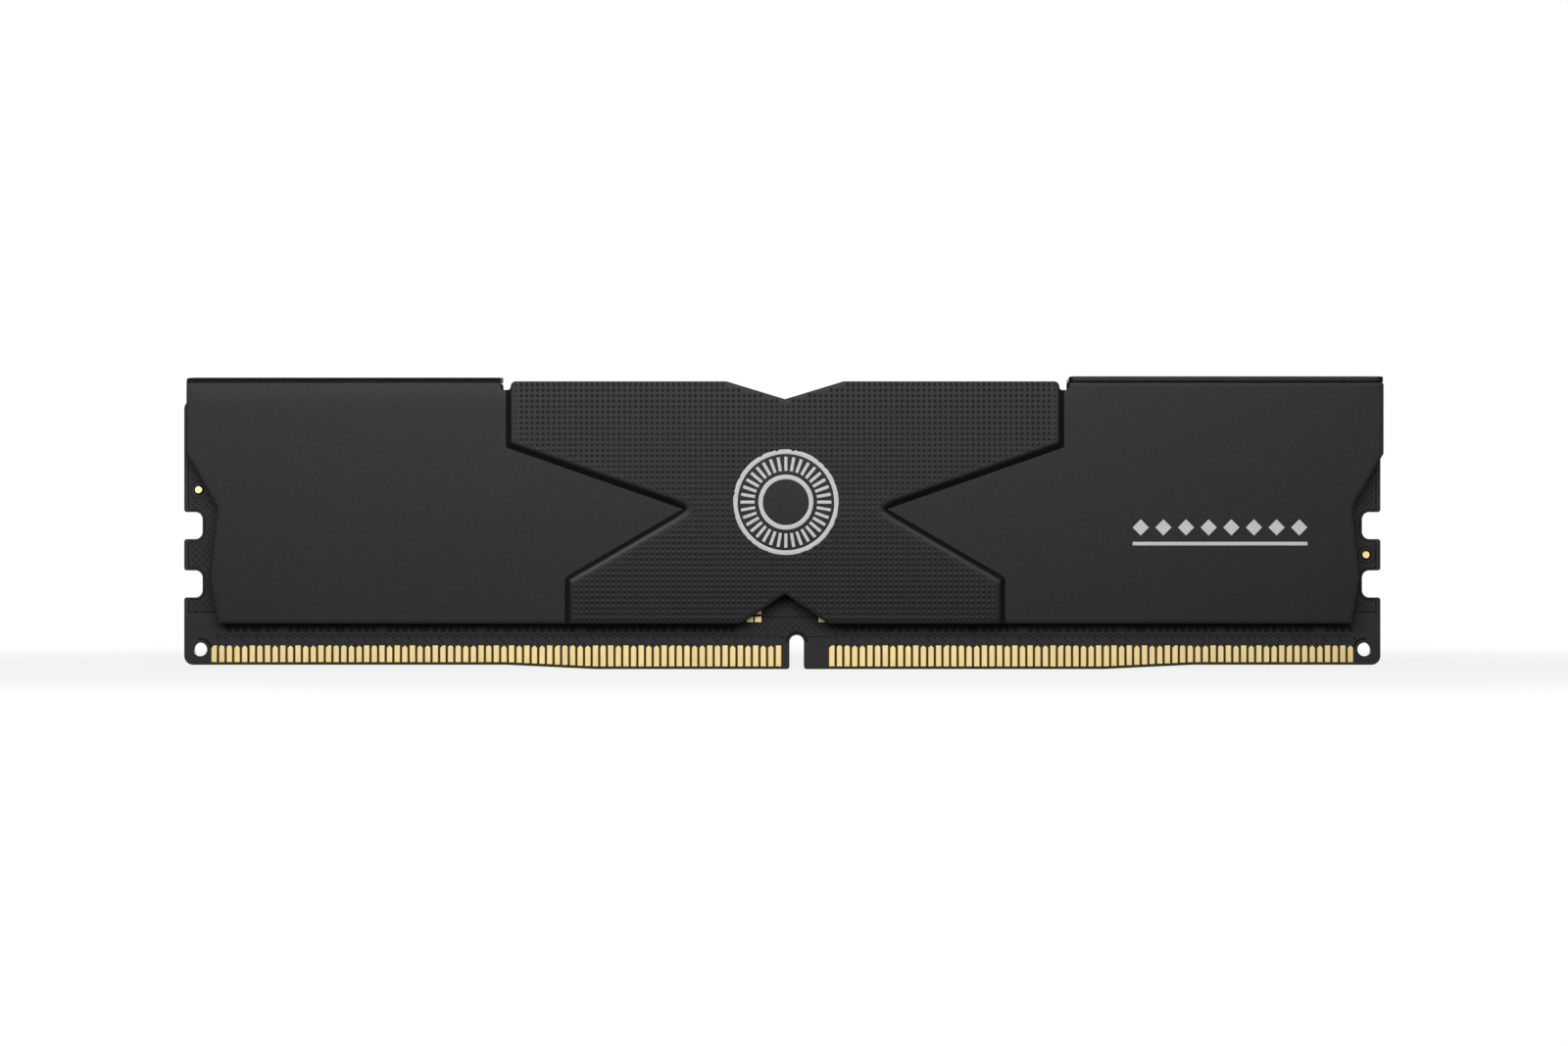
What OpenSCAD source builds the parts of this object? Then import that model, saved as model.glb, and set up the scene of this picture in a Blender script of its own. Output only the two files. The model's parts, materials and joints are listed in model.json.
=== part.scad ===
// Desktop memory module: a circuit board with edge contacts between two stamped heat-spreader
// halves. +X runs along the module, -Y is its front and +Z is up. The origin is the middle of the
// contact edge, halfway through the board. Sizes are in millimetres.

/* [Board] */
// Length of the board
board_l = 133.35; // [111:0.05:160]
// Height of the board
board_h = 30; // [25:0.25:36]
// Thickness of the board
board_t = 1.27; // [1:0.01:1.6]
// Radius of the board's corners
corner_r = 1; // [0.2:0.1:1.4]
// Diameter of the corner holes
hole_d = 1.5; // [1:0.05:1.8]
// Middle of a corner hole from the board's end
hole_in = 1.8; // [1.5:0.05:2.1]
// Middle of a corner hole above the contact edge
hole_z = 2.2; // [1.8:0.05:3]
// Diameter of the fiducial dots
fiducial_d = 0.75; // [0.5:0.05:1]
// Middle of a fiducial dot from the board's end
fiducial_in = 1.6; // [1.3:0.05:1.8]
// Height of the left fiducial dot above the upper latch notch
fiducial_rise = 2.5; // [1:0.1:4]

/* [Contact edge] */
// Left end of the lowest stretch of the edge, from the board's middle
low_left = 20.8; // [15:0.1:28]
// Right end of the lowest stretch of the edge, from the board's middle
low_right = 35.75; // [20:0.05:43]
// Length of the ramp beyond each end of the lowest stretch
ramp_l = 10; // [5:0.5:12]
// Rise of the edge over a ramp
ramp_rise = 0.48; // [0.2:0.02:0.6]
// Height of the bevel under the contacts
bevel_h = 0.3; // [0.2:0.02:0.4]
// Depth of the bevel into the board's thickness
bevel_d = 0.2; // [0.1:0.02:0.3]
// Middle of the key notch, to the right of the board's middle
key_x = 1.6; // [1:0.05:2.5]
// Width of the key notch
key_w = 1.6; // [1.2:0.05:2]
// Height of the key notch
key_h = 3.8; // [3:0.1:4.6]
// Radius of the corners at a notch's mouth
mouth_r = 0.3; // [0.1:0.05:0.5]

/* [Latch notches] */
// Height of a latch notch
latch_h = 3; // [2:0.1:4]
// Depth of a latch notch into the board's end
latch_d = 2.05; // [1.5:0.05:2.5]
// Radius of a latch notch's inner corners
latch_r = 0.8; // [0.3:0.05:0.95]
// Height of the lower latch notch's middle
latch_low = 9.5; // [8:0.1:10.5]
// Height of the upper latch notch's middle
latch_high = 16; // [15:0.1:18]

/* [Contacts] */
// Distance from one contact's middle to the next
contact_pitch = 0.85; // [0.8:0.01:1.2]
// Width of a contact
contact_w = 0.6; // [0.5:0.01:0.7]
// Height of a contact's tip above the contact edge
contact_top = 2.64; // [2:0.02:3.2]
// Thickness of a contact's plating
contact_t = 0.04; // [0.02:0.01:0.08]
// Middle of the first contact from the board's end
contact_in = 3.35; // [3.1:0.05:4.5]
// Gap between the bevel and a contact's foot
contact_foot = 0.02; // [0.01:0.01:0.1]
// Height of a pointed contact's tip
tip_h = 0.26; // [0.1:0.02:0.3]
// Stretch left of the key's middle that has no contact
key_bare_left = 2; // [1.6:0.1:3]
// Stretch right of the key's middle that has no contact
key_bare_right = 3.9; // [1.6:0.1:5]
// Width of a bare test land
land_w = 0.7; // [0.5:0.05:0.8]
// Height of a bare test land
land_h = 0.6; // [0.4:0.05:0.7]
// Distance from one test land's middle to the next
land_pitch = 0.9; // [0.85:0.05:1.2]
// Height of the lower test lands above the spreader's lower edge
land_rise = 0.45; // [0.4:0.05:0.6]
// Test lands left of the key, from the key's middle
land_left = 4.3; // [3:0.1:4.5]
// Test land right of the key, from the key's middle
land_right = 2.8; // [1.5:0.1:3.5]

/* [Memory chips] */
// Width of a memory chip
dram_w = 9; // [7:0.1:10.8]
// Height of a memory chip
dram_h = 11; // [9:0.1:13.2]
// Thickness of a memory chip on its solder
dram_t = 1.1; // [0.9:0.01:1.4]
// Height of the chips' middle above the contact edge
dram_z = 16.5; // [14:0.1:17]
// Middle of the innermost chip from the board's middle
dram_first = 14.5; // [13:0.1:16]
// Middle of the outermost chip from the board's end
dram_end = 12.5; // [10:0.1:13]

/* [Power and small parts] */
// Side of the square power controller
pmic_w = 5; // [4:0.1:6]
// Thickness of the power controller
pmic_t = 0.8; // [0.6:0.05:1]
// Height of the power controller's middle above the contact edge
pmic_z = 18.5; // [16:0.1:19]
// Width of an inductor
inductor_w = 2.5; // [2:0.1:3]
// Height of an inductor on the board's face
inductor_h = 2; // [1.6:0.1:2.4]
// Thickness of an inductor
inductor_t = 1.1; // [0.8:0.05:1.2]
// Width of the configuration hub chip
hub_w = 3; // [2:0.1:4]
// Height of the configuration hub chip on the board's face
hub_h = 2; // [1.5:0.1:2.4]
// Thickness of the configuration hub chip
hub_t = 0.75; // [0.5:0.05:1]
// Length of a bulk capacitor
bulk_l = 2; // [1.6:0.1:2.4]
// Width of a bulk capacitor
bulk_w = 1.25; // [0.8:0.05:1.5]
// Thickness of a bulk capacitor
bulk_t = 1.1; // [0.8:0.05:1.2]
// Length of a decoupling capacitor or resistor
small_l = 1; // [0.6:0.05:1.2]
// Width of a decoupling capacitor or resistor
small_w = 0.5; // [0.3:0.05:0.6]
// Thickness of a decoupling capacitor
capacitor_t = 0.5; // [0.3:0.05:0.6]
// Thickness of a resistor
resistor_t = 0.35; // [0.2:0.05:0.5]
// Distance from one decoupling capacitor's middle to the next
small_pitch = 2; // [1.5:0.1:2.2]
// Gap between neighbouring parts on the board
part_gap = 0.6; // [0.3:0.05:1]

/* [Heat spreader] */
// Thickness of the sheet
sheet_t = 0.6; // [0.4:0.05:0.8]
// Thickness of the thermal pad between a chip and a side panel
pad_t = 0.5; // [0.2:0.05:1]
// Rise of the centre field above the side panels
field_rise = 0.8; // [0.4:0.05:1.2]
// Width of the sloping wall round the centre field
wall_run = 0.65; // [0.4:0.05:1]
// Gap between a thermal pad and the sloping wall
pad_gap = 0.3; // [0.1:0.05:0.6]
// End of a spreader half inside the board's end
spreader_in = 0.2; // [0.1:0.025:1]
// How far both halves sit to the right of the board's middle
spreader_shift = 0.3; // [0:0.05:0.3]
// Height of the lower edge above the contact edge
spreader_z = 5.1; // [4.5:0.05:6]

/* [Flange] */
// Room between the board's top and the flange at its bend
top_room = 1.82; // [0.5:0.02:3]
// Upward slant of the flange from its bend to its free edge, in degrees
flange_slant = 2.2; // [0:0.1:4]
// Gap between a flange and the other half's top edge
seam = 0.08; // [0.04:0.01:0.2]
// Inner radius of the flange's bend
bend_r = 0.15; // [0.05:0.01:0.4]
// Radius of the flange's free corners
flange_r = 0.7; // [0.2:0.1:2]
// Gap between the flange's free edge and the other half's outer face
lip_gap = 0.05; // [0:0.05:0.5]

/* [Spreader outline] */
// Rise of the centre field's top edge above the panels' top edge
field_over = 0.1; // [0.05:0.01:0.6]
// Width of the slot at the top of the sloping wall
slot_w = 1.1; // [0.8:0.05:1.6]
// Depth of the slot below the panels' top edge
slot_d = 0.85; // [0.5:0.01:2]
// Radius of the slot's lower corners
slot_r = 0.3; // [0.1:0.05:0.35]
// Radius of the corners of the plain top edge, under the other half's flange
plain_r = 0.3; // [0.1:0.05:0.5]
// Radius of the centre field's top corners
field_r = 0.6; // [0.2:0.05:1]
// Half the width of the upper notch
upper_notch_w = 6.5; // [4:0.1:10]
// Depth of the upper notch
upper_notch_d = 1.98; // [1:0.02:2.4]
// Half the width of the lower notch
lower_notch_w = 4.84; // [4:0.02:8]
// Depth of the lower notch
lower_notch_d = 3.3; // [2:0.05:4]
// Radius of the lower notch's corners
lower_notch_r = 2; // [0.5:0.1:3]
// Setback of the lower edge's end from the spreader's end
foot_in = 3.5; // [3:0.05:5]
// Setback of the belly beside the lower latch notch
belly_in = 2.6; // [2.4:0.05:5]
// Height of the belly above the lower latch notch's middle
belly_rise = 0.65; // [0:0.05:1.5]
// Setback of the waist above the upper latch notch
waist_in = 3.45; // [2.4:0.05:5]
// Height of the waist above the upper latch notch
waist_rise = 0.5; // [0.2:0.1:2]
// Radius of the waist
waist_r = 2; // [0.5:0.1:3]
// Height of the slope from the waist to the full length
ear_h = 6; // [4:0.1:7]

/* [Centre field] */
// Foot of the field's upper wall, from the spreader's middle
shoulder_x = 31; // [26:0.1:36]
// Height of the shoulder above the waist of the field
shoulder_h = 6.84; // [4:0.02:8]
// Foot of the wall at the waist of the field, from the spreader's middle
field_waist_x = 11.4; // [8:0.1:16]
// Height of the waist of the field above the lower edge
field_waist_z = 12.75; // [9:0.05:14]
// Foot of the field's lower wall, from the spreader's middle
heel_x = 24.45; // [18:0.05:30]
// Height of the heel above the lower edge
heel_z = 5.15; // [3:0.05:7]

/* [Hidden] */
$fn = 48;
arc_steps = 6;
overlap = 0.01;
past = 3;
chips_per_half = 4;
chips_per_face = 2 * chips_per_half;
inductors = 3;

// Depths are measured outwards from the middle of the board's thickness
board_face = board_t / 2;
chip_top = board_face + dram_t;
panel_in = chip_top + pad_t;
panel_out = panel_in + sheet_t;
field_in = panel_in + field_rise;
field_out = panel_out + field_rise;

// Height of the flange's underside at a depth beyond the middle of the board, seen from its bend
function flange_under(depth) =
    bend_z + bend_r / cos(flange_slant) + (panel_in - bend_r + depth) * tan(flange_slant);

// Heights of the spreader's edges
bend_z = board_h + top_room - bend_r;
plain_top = flange_under(panel_in) - seam;
flange_top = flange_under(panel_out) + 2 * sheet_t;
field_top = plain_top + field_over;
slot_z = plain_top - slot_d;
field_corner = min(field_r, field_top - slot_z - slot_r - overlap);
belly_z = latch_low + belly_rise;
waist_z = latch_high + latch_h / 2 + waist_rise;
ear_z = waist_z + ear_h;

// Places along the spreader
spreader_half = board_l / 2 - spreader_in;
slot_inner = shoulder_x - slot_w / 2;
slot_outer = shoulder_x + slot_w / 2;

// Contacts along the board, as middles measured from the board's middle
contact_last = floor((board_l - 2 * contact_in) / contact_pitch + overlap);
contact_start = -contact_last * contact_pitch / 2;
contacts_all = [for (i = [0:contact_last]) contact_start + i * contact_pitch];
contacts_left = [for (x = contacts_all) if (x < key_x - key_bare_left) x];
contacts_right = [for (x = contacts_all) if (x > key_x + key_bare_right) x];

// Tips of the contacts, in the order in which they repeat along the edge
tip_cycle = [
    "slant", "round", "round", "point", "point", "flat", "round", "flat",
    "point", "flat", "point", "flat", "point", "point", "flat"
];

// Memory chips along one face, as middles
dram_pitch = (board_l / 2 - dram_end - dram_first) / (chips_per_half - 1);
dram_half = [for (i = [0:chips_per_half - 1]) dram_first + i * dram_pitch];
dram_xs = concat([for (i = [chips_per_half - 1:-1:0]) -dram_half[i]], dram_half);

function unit(v) = v / norm(v);

// Direction out of an anticlockwise outline, across the side from a to b
function outwards(a, b) = let (d = unit(b - a)) [d[1], -d[0]];

// Outline with every side moved outwards by d, with mitred corners
function grown(path, d) = let (n = len(path)) [
    for (i = [0:n - 1])
        let (
            before = outwards(path[(i + n - 1) % n], path[i]),
            after = outwards(path[i], path[(i + 1) % n])
        )
        path[i] + (before + after) * d / (1 + before * after)
];

// Points of an arc of radius r in the corner b between a and c
function corner(a, b, c, r) = r == 0 ? [b] :
    let (
        u = unit(a - b),
        v = unit(c - b),
        half = acos(u * v) / 2,
        middle = b + unit(u + v) * r / sin(half),
        first = b + u * r / tan(half) - middle,
        start = atan2(first[1], first[0]),
        turn = (180 - 2 * half) * (cross(u, v) > 0 ? -1 : 1)
    )
    [for (k = [0:arc_steps]) let (t = start + turn * k / arc_steps) middle + r * [cos(t), sin(t)]];

function flat(p) = [p[0], p[1]];

// Outline of points [x, z, radius] with their corners rounded
function rounded(path) = let (n = len(path)) [
    for (i = [0:n - 1])
        each corner(flat(path[(i + n - 1) % n]), flat(path[i]), flat(path[(i + 1) % n]), path[i][2])
];

function mirrored(path) = [for (i = [len(path) - 1:-1:0]) [-path[i][0], path[i][1]]];

// Height of the contact edge at x
function edge_z(x) = ramp_rise * max(0, min(1, (-low_left - x) / ramp_l), min(1, (x - low_right) / ramp_l));

// Places a face drawing, with x along the module, y up and z outwards, on the front of the board
module on_front() {
    rotate([90, 0, 0]) children();
}

// Places the same drawing on the rear, at the same x
module on_rear() {
    mirror([0, 1, 0]) on_front() children();
}

// Extrudes a flat drawing between two depths
module between(low, high) {
    translate([0, 0, low]) linear_extrude(high - low) children();
}

// Box on the board's face, w wide, h high and t thick, with its middle at x, z
module block(x, z, w, h, t) {
    between(board_face, board_face + t) translate([x - w / 2, z - h / 2]) square([w, h]);
}

// Circuit board

function latch_notch(z) = [
    [board_l / 2, z - latch_h / 2, mouth_r],
    [board_l / 2 - latch_d, z - latch_h / 2, latch_r],
    [board_l / 2 - latch_d, z + latch_h / 2, latch_r],
    [board_l / 2, z + latch_h / 2, mouth_r]
];

function right_end() = concat(
    [[board_l / 2, ramp_rise, corner_r]],
    latch_notch(latch_low),
    latch_notch(latch_high),
    [[board_l / 2, board_h, corner_r]]
);

function left_end() = let (p = right_end()) [for (i = [len(p) - 1:-1:0]) [-p[i][0], p[i][1], p[i][2]]];

function key_notch() = [
    [key_x - key_w / 2, 0, mouth_r],
    [key_x - key_w / 2, key_h, key_w / 2 - overlap],
    [key_x + key_w / 2, key_h, key_w / 2 - overlap],
    [key_x + key_w / 2, 0, mouth_r]
];

function board_outline() = concat(
    left_end(),
    [[-low_left - ramp_l, ramp_rise, 0], [-low_left, 0, 0]],
    key_notch(),
    [[low_right, 0, 0], [low_right + ramp_l, ramp_rise, 0]],
    right_end()
);

// Wedge cut off the contact edge's front between two places along it
module bevel_cut(x0, x1) {
    a = [x0, edge_z(x0)];
    b = [x1, edge_z(x1)];
    translate([a[0], a[1], board_face]) rotate([0, 0, atan2(b[1] - a[1], b[0] - a[0])])
        translate([-overlap, 0, 0]) rotate([0, 90, 0]) linear_extrude(norm(b - a) + 2 * overlap)
            polygon([[2 * bevel_d, -bevel_h], [-bevel_d, 2 * bevel_h], [-bevel_d, -bevel_h]]);
}

// Bevel along a row of contacts, in straight stretches between the ends of the ramps
module bevel(contacts) {
    first = contacts[0] - contact_pitch / 2;
    last = contacts[len(contacts) - 1] + contact_pitch / 2;
    bends = [-low_left - ramp_l, -low_left, low_right, low_right + ramp_l];
    stops = concat([first], [for (x = bends) if (x > first && x < last) x], [last]);
    for (i = [0:len(stops) - 2])
        bevel_cut(stops[i], stops[i + 1]);
}

module bevels() {
    bevel(contacts_left);
    bevel(contacts_right);
}

module circuit_board() {
    color("#26272a") difference() {
        on_front() between(-board_face, board_face) polygon(rounded(board_outline()));
        for (side = [-1, 1])
            translate([side * (board_l / 2 - hole_in), 0, hole_z]) rotate([90, 0, 0])
                cylinder(d = hole_d, h = board_t + 1, center = true);
        on_front() bevels();
        on_rear() bevels();
    }
}

// Contacts, fiducial dots and test lands

// Outline of a contact at its own middle, from its foot to its tip
function contact_outline(foot, tip) =
    let (
        w = contact_w / 2,
        top = contact_top,
        low = contact_top - tip_h,
        foot_side = [[-w, foot], [w, foot]]
    )
    tip == "flat" ? concat(foot_side, [[w, top], [-w, top]]) :
    tip == "point" ? concat(foot_side, [[w, low], [0, top], [-w, low]]) :
    tip == "slant" ? concat(foot_side, [[w, top], [0, top], [-w, low]]) :
    concat(foot_side, [
        for (k = [0:arc_steps]) let (t = 180 * k / arc_steps) [w * cos(t), low + tip_h * sin(t)]
    ]);

module contact_row(contacts) {
    between(board_face, board_face + contact_t)
        for (i = [0:len(contacts) - 1])
            translate([contacts[i], 0])
                polygon(contact_outline(
                    edge_z(contacts[i]) + bevel_h + contact_foot,
                    tip_cycle[i % len(tip_cycle)]
                ));
}

module front_contacts_left() {
    color("#e2c76c") on_front() contact_row(contacts_left);
}

module front_contacts_right() {
    color("#e2c76c") on_front() contact_row(contacts_right);
}

module rear_contacts_left() {
    color("#e2c76c") on_rear() contact_row(contacts_left);
}

module rear_contacts_right() {
    color("#e2c76c") on_rear() contact_row(contacts_right);
}

module fiducial_pair() {
    low = (latch_low + latch_high) / 2;
    high = latch_high + latch_h / 2 + fiducial_rise;
    for (place = [[-1, high], [1, low]])
        translate([place[0] * (board_l / 2 - fiducial_in), place[1], board_face])
            cylinder(d = fiducial_d, h = contact_t);
}

module fiducials() {
    color("#d9b65a") {
        on_front() fiducial_pair();
        on_rear() fiducial_pair();
    }
}

// Bare lands just above the spreader's lower edge, beside the key
module test_lands() {
    z = spreader_z + land_rise;
    left = key_x - land_left;
    right = key_x + land_right;
    color("#d9b65a") on_front()
        for (place = [[left, z], [left - land_pitch, z], [left, z + land_pitch], [right, z]])
            block(place[0], place[1], land_w, land_h, contact_t);
}

// Chips and small parts

module dram(i) {
    color("#1c1c1e") block(dram_xs[i - 1], dram_z, dram_w, dram_h, dram_t);
}

module pmic() {
    color("#202022") on_front() block(0, pmic_z, pmic_w, pmic_w, pmic_t);
}

module inductor(i) {
    z = pmic_z + pmic_w / 2 + part_gap + inductor_h / 2;
    color("#5c5d60") on_front()
        block((i - (inductors + 1) / 2) * (inductor_w + part_gap), z, inductor_w, inductor_h, inductor_t);
}

module spd_hub() {
    z = pmic_z - pmic_w / 2 - part_gap - hub_h / 2;
    color("#202022") on_front() block(0, z, hub_w, hub_h, hub_t);
}

module bulk_capacitors() {
    x = pmic_w / 2 + part_gap + bulk_l / 2;
    color("#8a6f4d") on_front()
        for (side = [-1, 1], row = [-1:1])
            block(side * x, pmic_z + row * (bulk_w + part_gap), bulk_l, bulk_w, bulk_t);
}

// Two rows of capacitors beside each chip: one above it and one below it
module decoupling_capacitors() {
    rise = dram_h / 2 + part_gap + small_w / 2;
    color("#a98a60")
        for (x = dram_xs, side = [-1, 1], place = [-1:1])
            block(x + place * small_pitch, dram_z + side * rise, small_l, small_w, capacitor_t);
}

// One resistor above the row of capacitors of each chip
module resistors() {
    z = dram_z + dram_h / 2 + 2 * (part_gap + small_w) - small_w / 2;
    color("#2a2a2c")
        for (x = dram_xs)
            block(x, z, small_l, small_w, resistor_t);
}

// Heat spreader halves, drawn about the middle of the spreader

// Right edge of the centre field from its lower end to its upper one, at the foot of its wall
function field_edge() = let (waist = spreader_z + field_waist_z) [
    [heel_x, spreader_z - past],
    [heel_x, spreader_z + heel_z],
    [field_waist_x, waist],
    [shoulder_x, waist + shoulder_h],
    [shoulder_x, flange_top + past]
];

// Centre field at the foot of its wall, run out past the spreader's lower and upper edges
function field_outline() = concat(field_edge(), mirrored(field_edge()));

function end_outline() = [
    [spreader_half - foot_in, spreader_z, 0],
    [spreader_half - belly_in, belly_z, 0],
    [spreader_half - waist_in, waist_z, waist_r],
    [spreader_half, ear_z, 0]
];

// Right half of the outline, from the lower notch to the upper one, with its top edge at top
// and that edge's corners rounded by r
function half_outline(top, r) = concat(
    [[lower_notch_w, spreader_z, lower_notch_r]],
    end_outline(),
    [
        [spreader_half, top, r],
        [slot_outer, top, r],
        [slot_outer, slot_z, slot_r],
        [slot_inner, slot_z, slot_r],
        [slot_inner, field_top, field_corner],
        [upper_notch_w, field_top, 0]
    ]
);

// Left half, whose top edge ends where the flange's bend begins
function left_half_outline() = let (p = half_outline(bend_z, 0)) [
    for (i = [len(p) - 1:-1:0]) [-p[i][0], p[i][1], p[i][2]]
];

function spreader_outline() = concat(
    [[0, spreader_z + lower_notch_d, 0]],
    half_outline(plain_top, plain_r),
    [[0, field_top - upper_notch_d, 0]],
    left_half_outline()
);

// Block that reaches past the spreader's edges all round, between two depths
module slab(low, high) {
    margin = 2 * past;
    reach = spreader_half + margin;
    between(low, high)
        translate([-reach, spreader_z - margin])
            square([2 * reach, flange_top - spreader_z + 2 * margin]);
}

// Sloping walls of the field, run on past both ends; their foot is as outlined at foot_level
module field_walls(foot_level, low, high) {
    slope = wall_run / field_rise;
    foot = grown(field_outline(), (foot_level - low) * slope);
    face = grown(field_outline(), (foot_level - high) * slope);
    n = len(face);
    polyhedron(
        points = concat([for (p = foot) [p[0], p[1], low]], [for (p = face) [p[0], p[1], high]]),
        faces = concat(
            [[for (i = [0:n - 1]) i]],
            [[for (i = [n - 1:-1:0]) n + i]],
            [for (i = [0:n - 1]) let (j = (i + 1) % n) [i, n + i, n + j, j]]
        )
    );
}

// Raised field from a sheet's thickness below the foot of its walls up to its face
module raised_field(foot_level) {
    low = foot_level - sheet_t;
    high = foot_level + field_rise;
    intersection() {
        slab(low, high);
        field_walls(foot_level, low - sheet_t, high + sheet_t);
    }
}

// Stamped sheet: panels and field cut to the spreader's outline and hollowed behind the field
module stamped_sheet() {
    difference() {
        intersection() {
            between(panel_in, field_out + overlap) polygon(rounded(spreader_outline()));
            union() {
                slab(board_face, panel_out);
                raised_field(panel_out);
            }
        }
        raised_field(panel_in);
    }
}

// Section of the flange: a stub of the panel, a bend, and a leaf over the other half
module flange_section() {
    bend_out = bend_r + sheet_t;
    translate([bend_r - panel_in, bend_z]) {
        intersection() {
            difference() {
                circle(bend_out);
                circle(bend_r);
            }
            translate([-bend_out, 0]) square(bend_out);
            rotate(flange_slant) translate([-bend_out, 0]) square(bend_out);
        }
        rotate(flange_slant) translate([0, bend_r])
            square([(panel_in - bend_r + panel_out - lip_gap) / cos(flange_slant), sheet_t]);
        translate([-bend_out, -sheet_t]) square(sheet_t);
    }
}

// Flange on the half's own left, with the corners of its free edge rounded
module flange() {
    free = lip_gap - panel_out;
    intersection() {
        translate([-spreader_half, 0, 0]) rotate([0, 90, 0])
            linear_extrude(spreader_half - slot_outer) flange_section();
        translate([0, flange_top, 0]) rotate([90, 0, 0])
            linear_extrude(flange_top - bend_z + 2 * sheet_t)
                polygon(rounded([
                    [-spreader_half, panel_out + overlap, 0],
                    [-spreader_half, free, flange_r],
                    [-slot_outer, free, flange_r],
                    [-slot_outer, panel_out + overlap, 0]
                ]));
    }
}

module spreader_half_shell() {
    stamped_sheet();
    flange();
}

module front_heat_spreader() {
    color("#333335") translate([spreader_shift, 0, 0]) on_front() spreader_half_shell();
}

// The rear half is the same stamping turned half round
module rear_heat_spreader() {
    color("#333335") translate([spreader_shift, 0, 0]) rotate([0, 0, 180]) on_front() spreader_half_shell();
}

// Thermal pads

// Area of the four chips on one side of the middle
module chip_area(side) {
    inner = dram_half[0] - dram_w / 2;
    outer = dram_half[chips_per_half - 1] + dram_w / 2;
    translate([side > 0 ? inner : -outer, dram_z - dram_h / 2]) square([outer - inner, dram_h]);
}

// Pad over four chips, thicker where the centre field stands off
module thermal_pad(side) {
    color("#8f979c") {
        between(chip_top, panel_in) chip_area(side);
        between(panel_in, field_in) intersection() {
            chip_area(side);
            translate([spreader_shift, 0]) polygon(grown(field_outline(), -wall_run - pad_gap));
        }
    }
}

module thermal_pad_pmic() {
    color("#8f979c") on_front() between(board_face + pmic_t, field_in)
        translate([-pmic_w / 2, pmic_z - pmic_w / 2]) square(pmic_w);
}

circuit_board();
front_contacts_left();
front_contacts_right();
rear_contacts_left();
rear_contacts_right();
fiducials();
test_lands();
for (i = [1:chips_per_face]) {
    on_front() dram(i);
    on_rear() dram(i);
}
pmic();
for (i = [1:inductors])
    inductor(i);
spd_hub();
bulk_capacitors();
on_front() decoupling_capacitors();  // decoupling_capacitors_front
on_rear() decoupling_capacitors();  // decoupling_capacitors_rear
on_front() resistors();  // resistors_front
on_rear() resistors();  // resistors_rear
on_front() thermal_pad(-1);  // thermal_pad_front_left
on_front() thermal_pad(1);  // thermal_pad_front_right
on_rear() thermal_pad(-1);  // thermal_pad_rear_left
on_rear() thermal_pad(1);  // thermal_pad_rear_right
thermal_pad_pmic();
front_heat_spreader();
rear_heat_spreader();
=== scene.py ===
"""Looks of a desktop memory module: two black stamped spreader halves on a board with gold contacts."""
import json
import logging
import math
from dataclasses import dataclass, field
from enum import Enum
from functools import partial, reduce
from typing import Any, Callable, Iterable

import bpy
import numpy as np
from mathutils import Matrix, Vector
from mathutils.geometry import delaunay_2d_cdt

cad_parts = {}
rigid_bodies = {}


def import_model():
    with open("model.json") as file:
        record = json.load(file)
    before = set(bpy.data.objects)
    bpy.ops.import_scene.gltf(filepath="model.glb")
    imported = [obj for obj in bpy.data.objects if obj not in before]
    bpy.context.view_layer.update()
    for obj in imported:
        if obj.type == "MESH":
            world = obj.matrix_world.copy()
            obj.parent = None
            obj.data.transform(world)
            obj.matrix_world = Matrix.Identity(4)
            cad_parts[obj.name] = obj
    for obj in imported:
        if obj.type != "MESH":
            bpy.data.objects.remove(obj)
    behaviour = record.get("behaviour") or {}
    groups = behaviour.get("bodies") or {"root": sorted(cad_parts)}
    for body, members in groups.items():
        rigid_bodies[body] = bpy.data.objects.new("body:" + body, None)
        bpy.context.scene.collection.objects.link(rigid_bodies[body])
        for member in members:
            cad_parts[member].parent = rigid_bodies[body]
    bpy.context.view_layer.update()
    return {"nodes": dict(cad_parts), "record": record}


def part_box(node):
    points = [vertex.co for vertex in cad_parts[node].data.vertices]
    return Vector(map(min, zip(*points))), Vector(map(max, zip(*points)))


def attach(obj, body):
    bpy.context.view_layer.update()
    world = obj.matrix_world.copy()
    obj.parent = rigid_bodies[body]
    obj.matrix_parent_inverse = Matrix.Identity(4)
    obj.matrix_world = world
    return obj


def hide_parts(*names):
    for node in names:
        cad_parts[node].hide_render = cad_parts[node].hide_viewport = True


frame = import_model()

MM = 0.001
# How far thin pieces reach into the surface that they lie on, in millimetres
SUNK = 0.01
# Width of a ridge's flat top as a share of its foot
RIDGE_TOP = 0.72
# Turns the left of a drawing into its right
MIRROR = np.array((-1, 1))
# Inputs of a Map Range node
RANGE = "From Min", "From Max", "To Min", "To Max"
# Noise stays mostly between these values
NOISE_SPAN = {"From Min": 0.25, "From Max": 0.75}
# Sockets of a Mix node for colours: both colours, and the result
MIX_A, MIX_B, MIX_OUT = 6, 7, 2
LOG = logging.getLogger("memory_module")

Array = np.ndarray
Pair = tuple[float, float]
Triple = tuple[float, float, float]
Material = bpy.types.Material
Node = bpy.types.Node
Tree = bpy.types.NodeTree


class Side(Enum):
    """The two faces of the module."""

    FRONT = "front"
    REAR = "rear"

    @property
    def sign(self) -> int:
        """Direction of this face along Y."""
        return -1 if self is Side.FRONT else 1


class Slot(Enum):
    """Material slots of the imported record."""

    MASK = "board_mask"
    GOLD = "gold_plating"
    RESIN = "chip_resin"
    FERRITE = "ferrite"
    CERAMIC = "capacitor_ceramic"
    RESISTOR = "resistor_film"
    SILICONE = "thermal_silicone"
    COAT = "spreader_coat"


# Meshes


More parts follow.
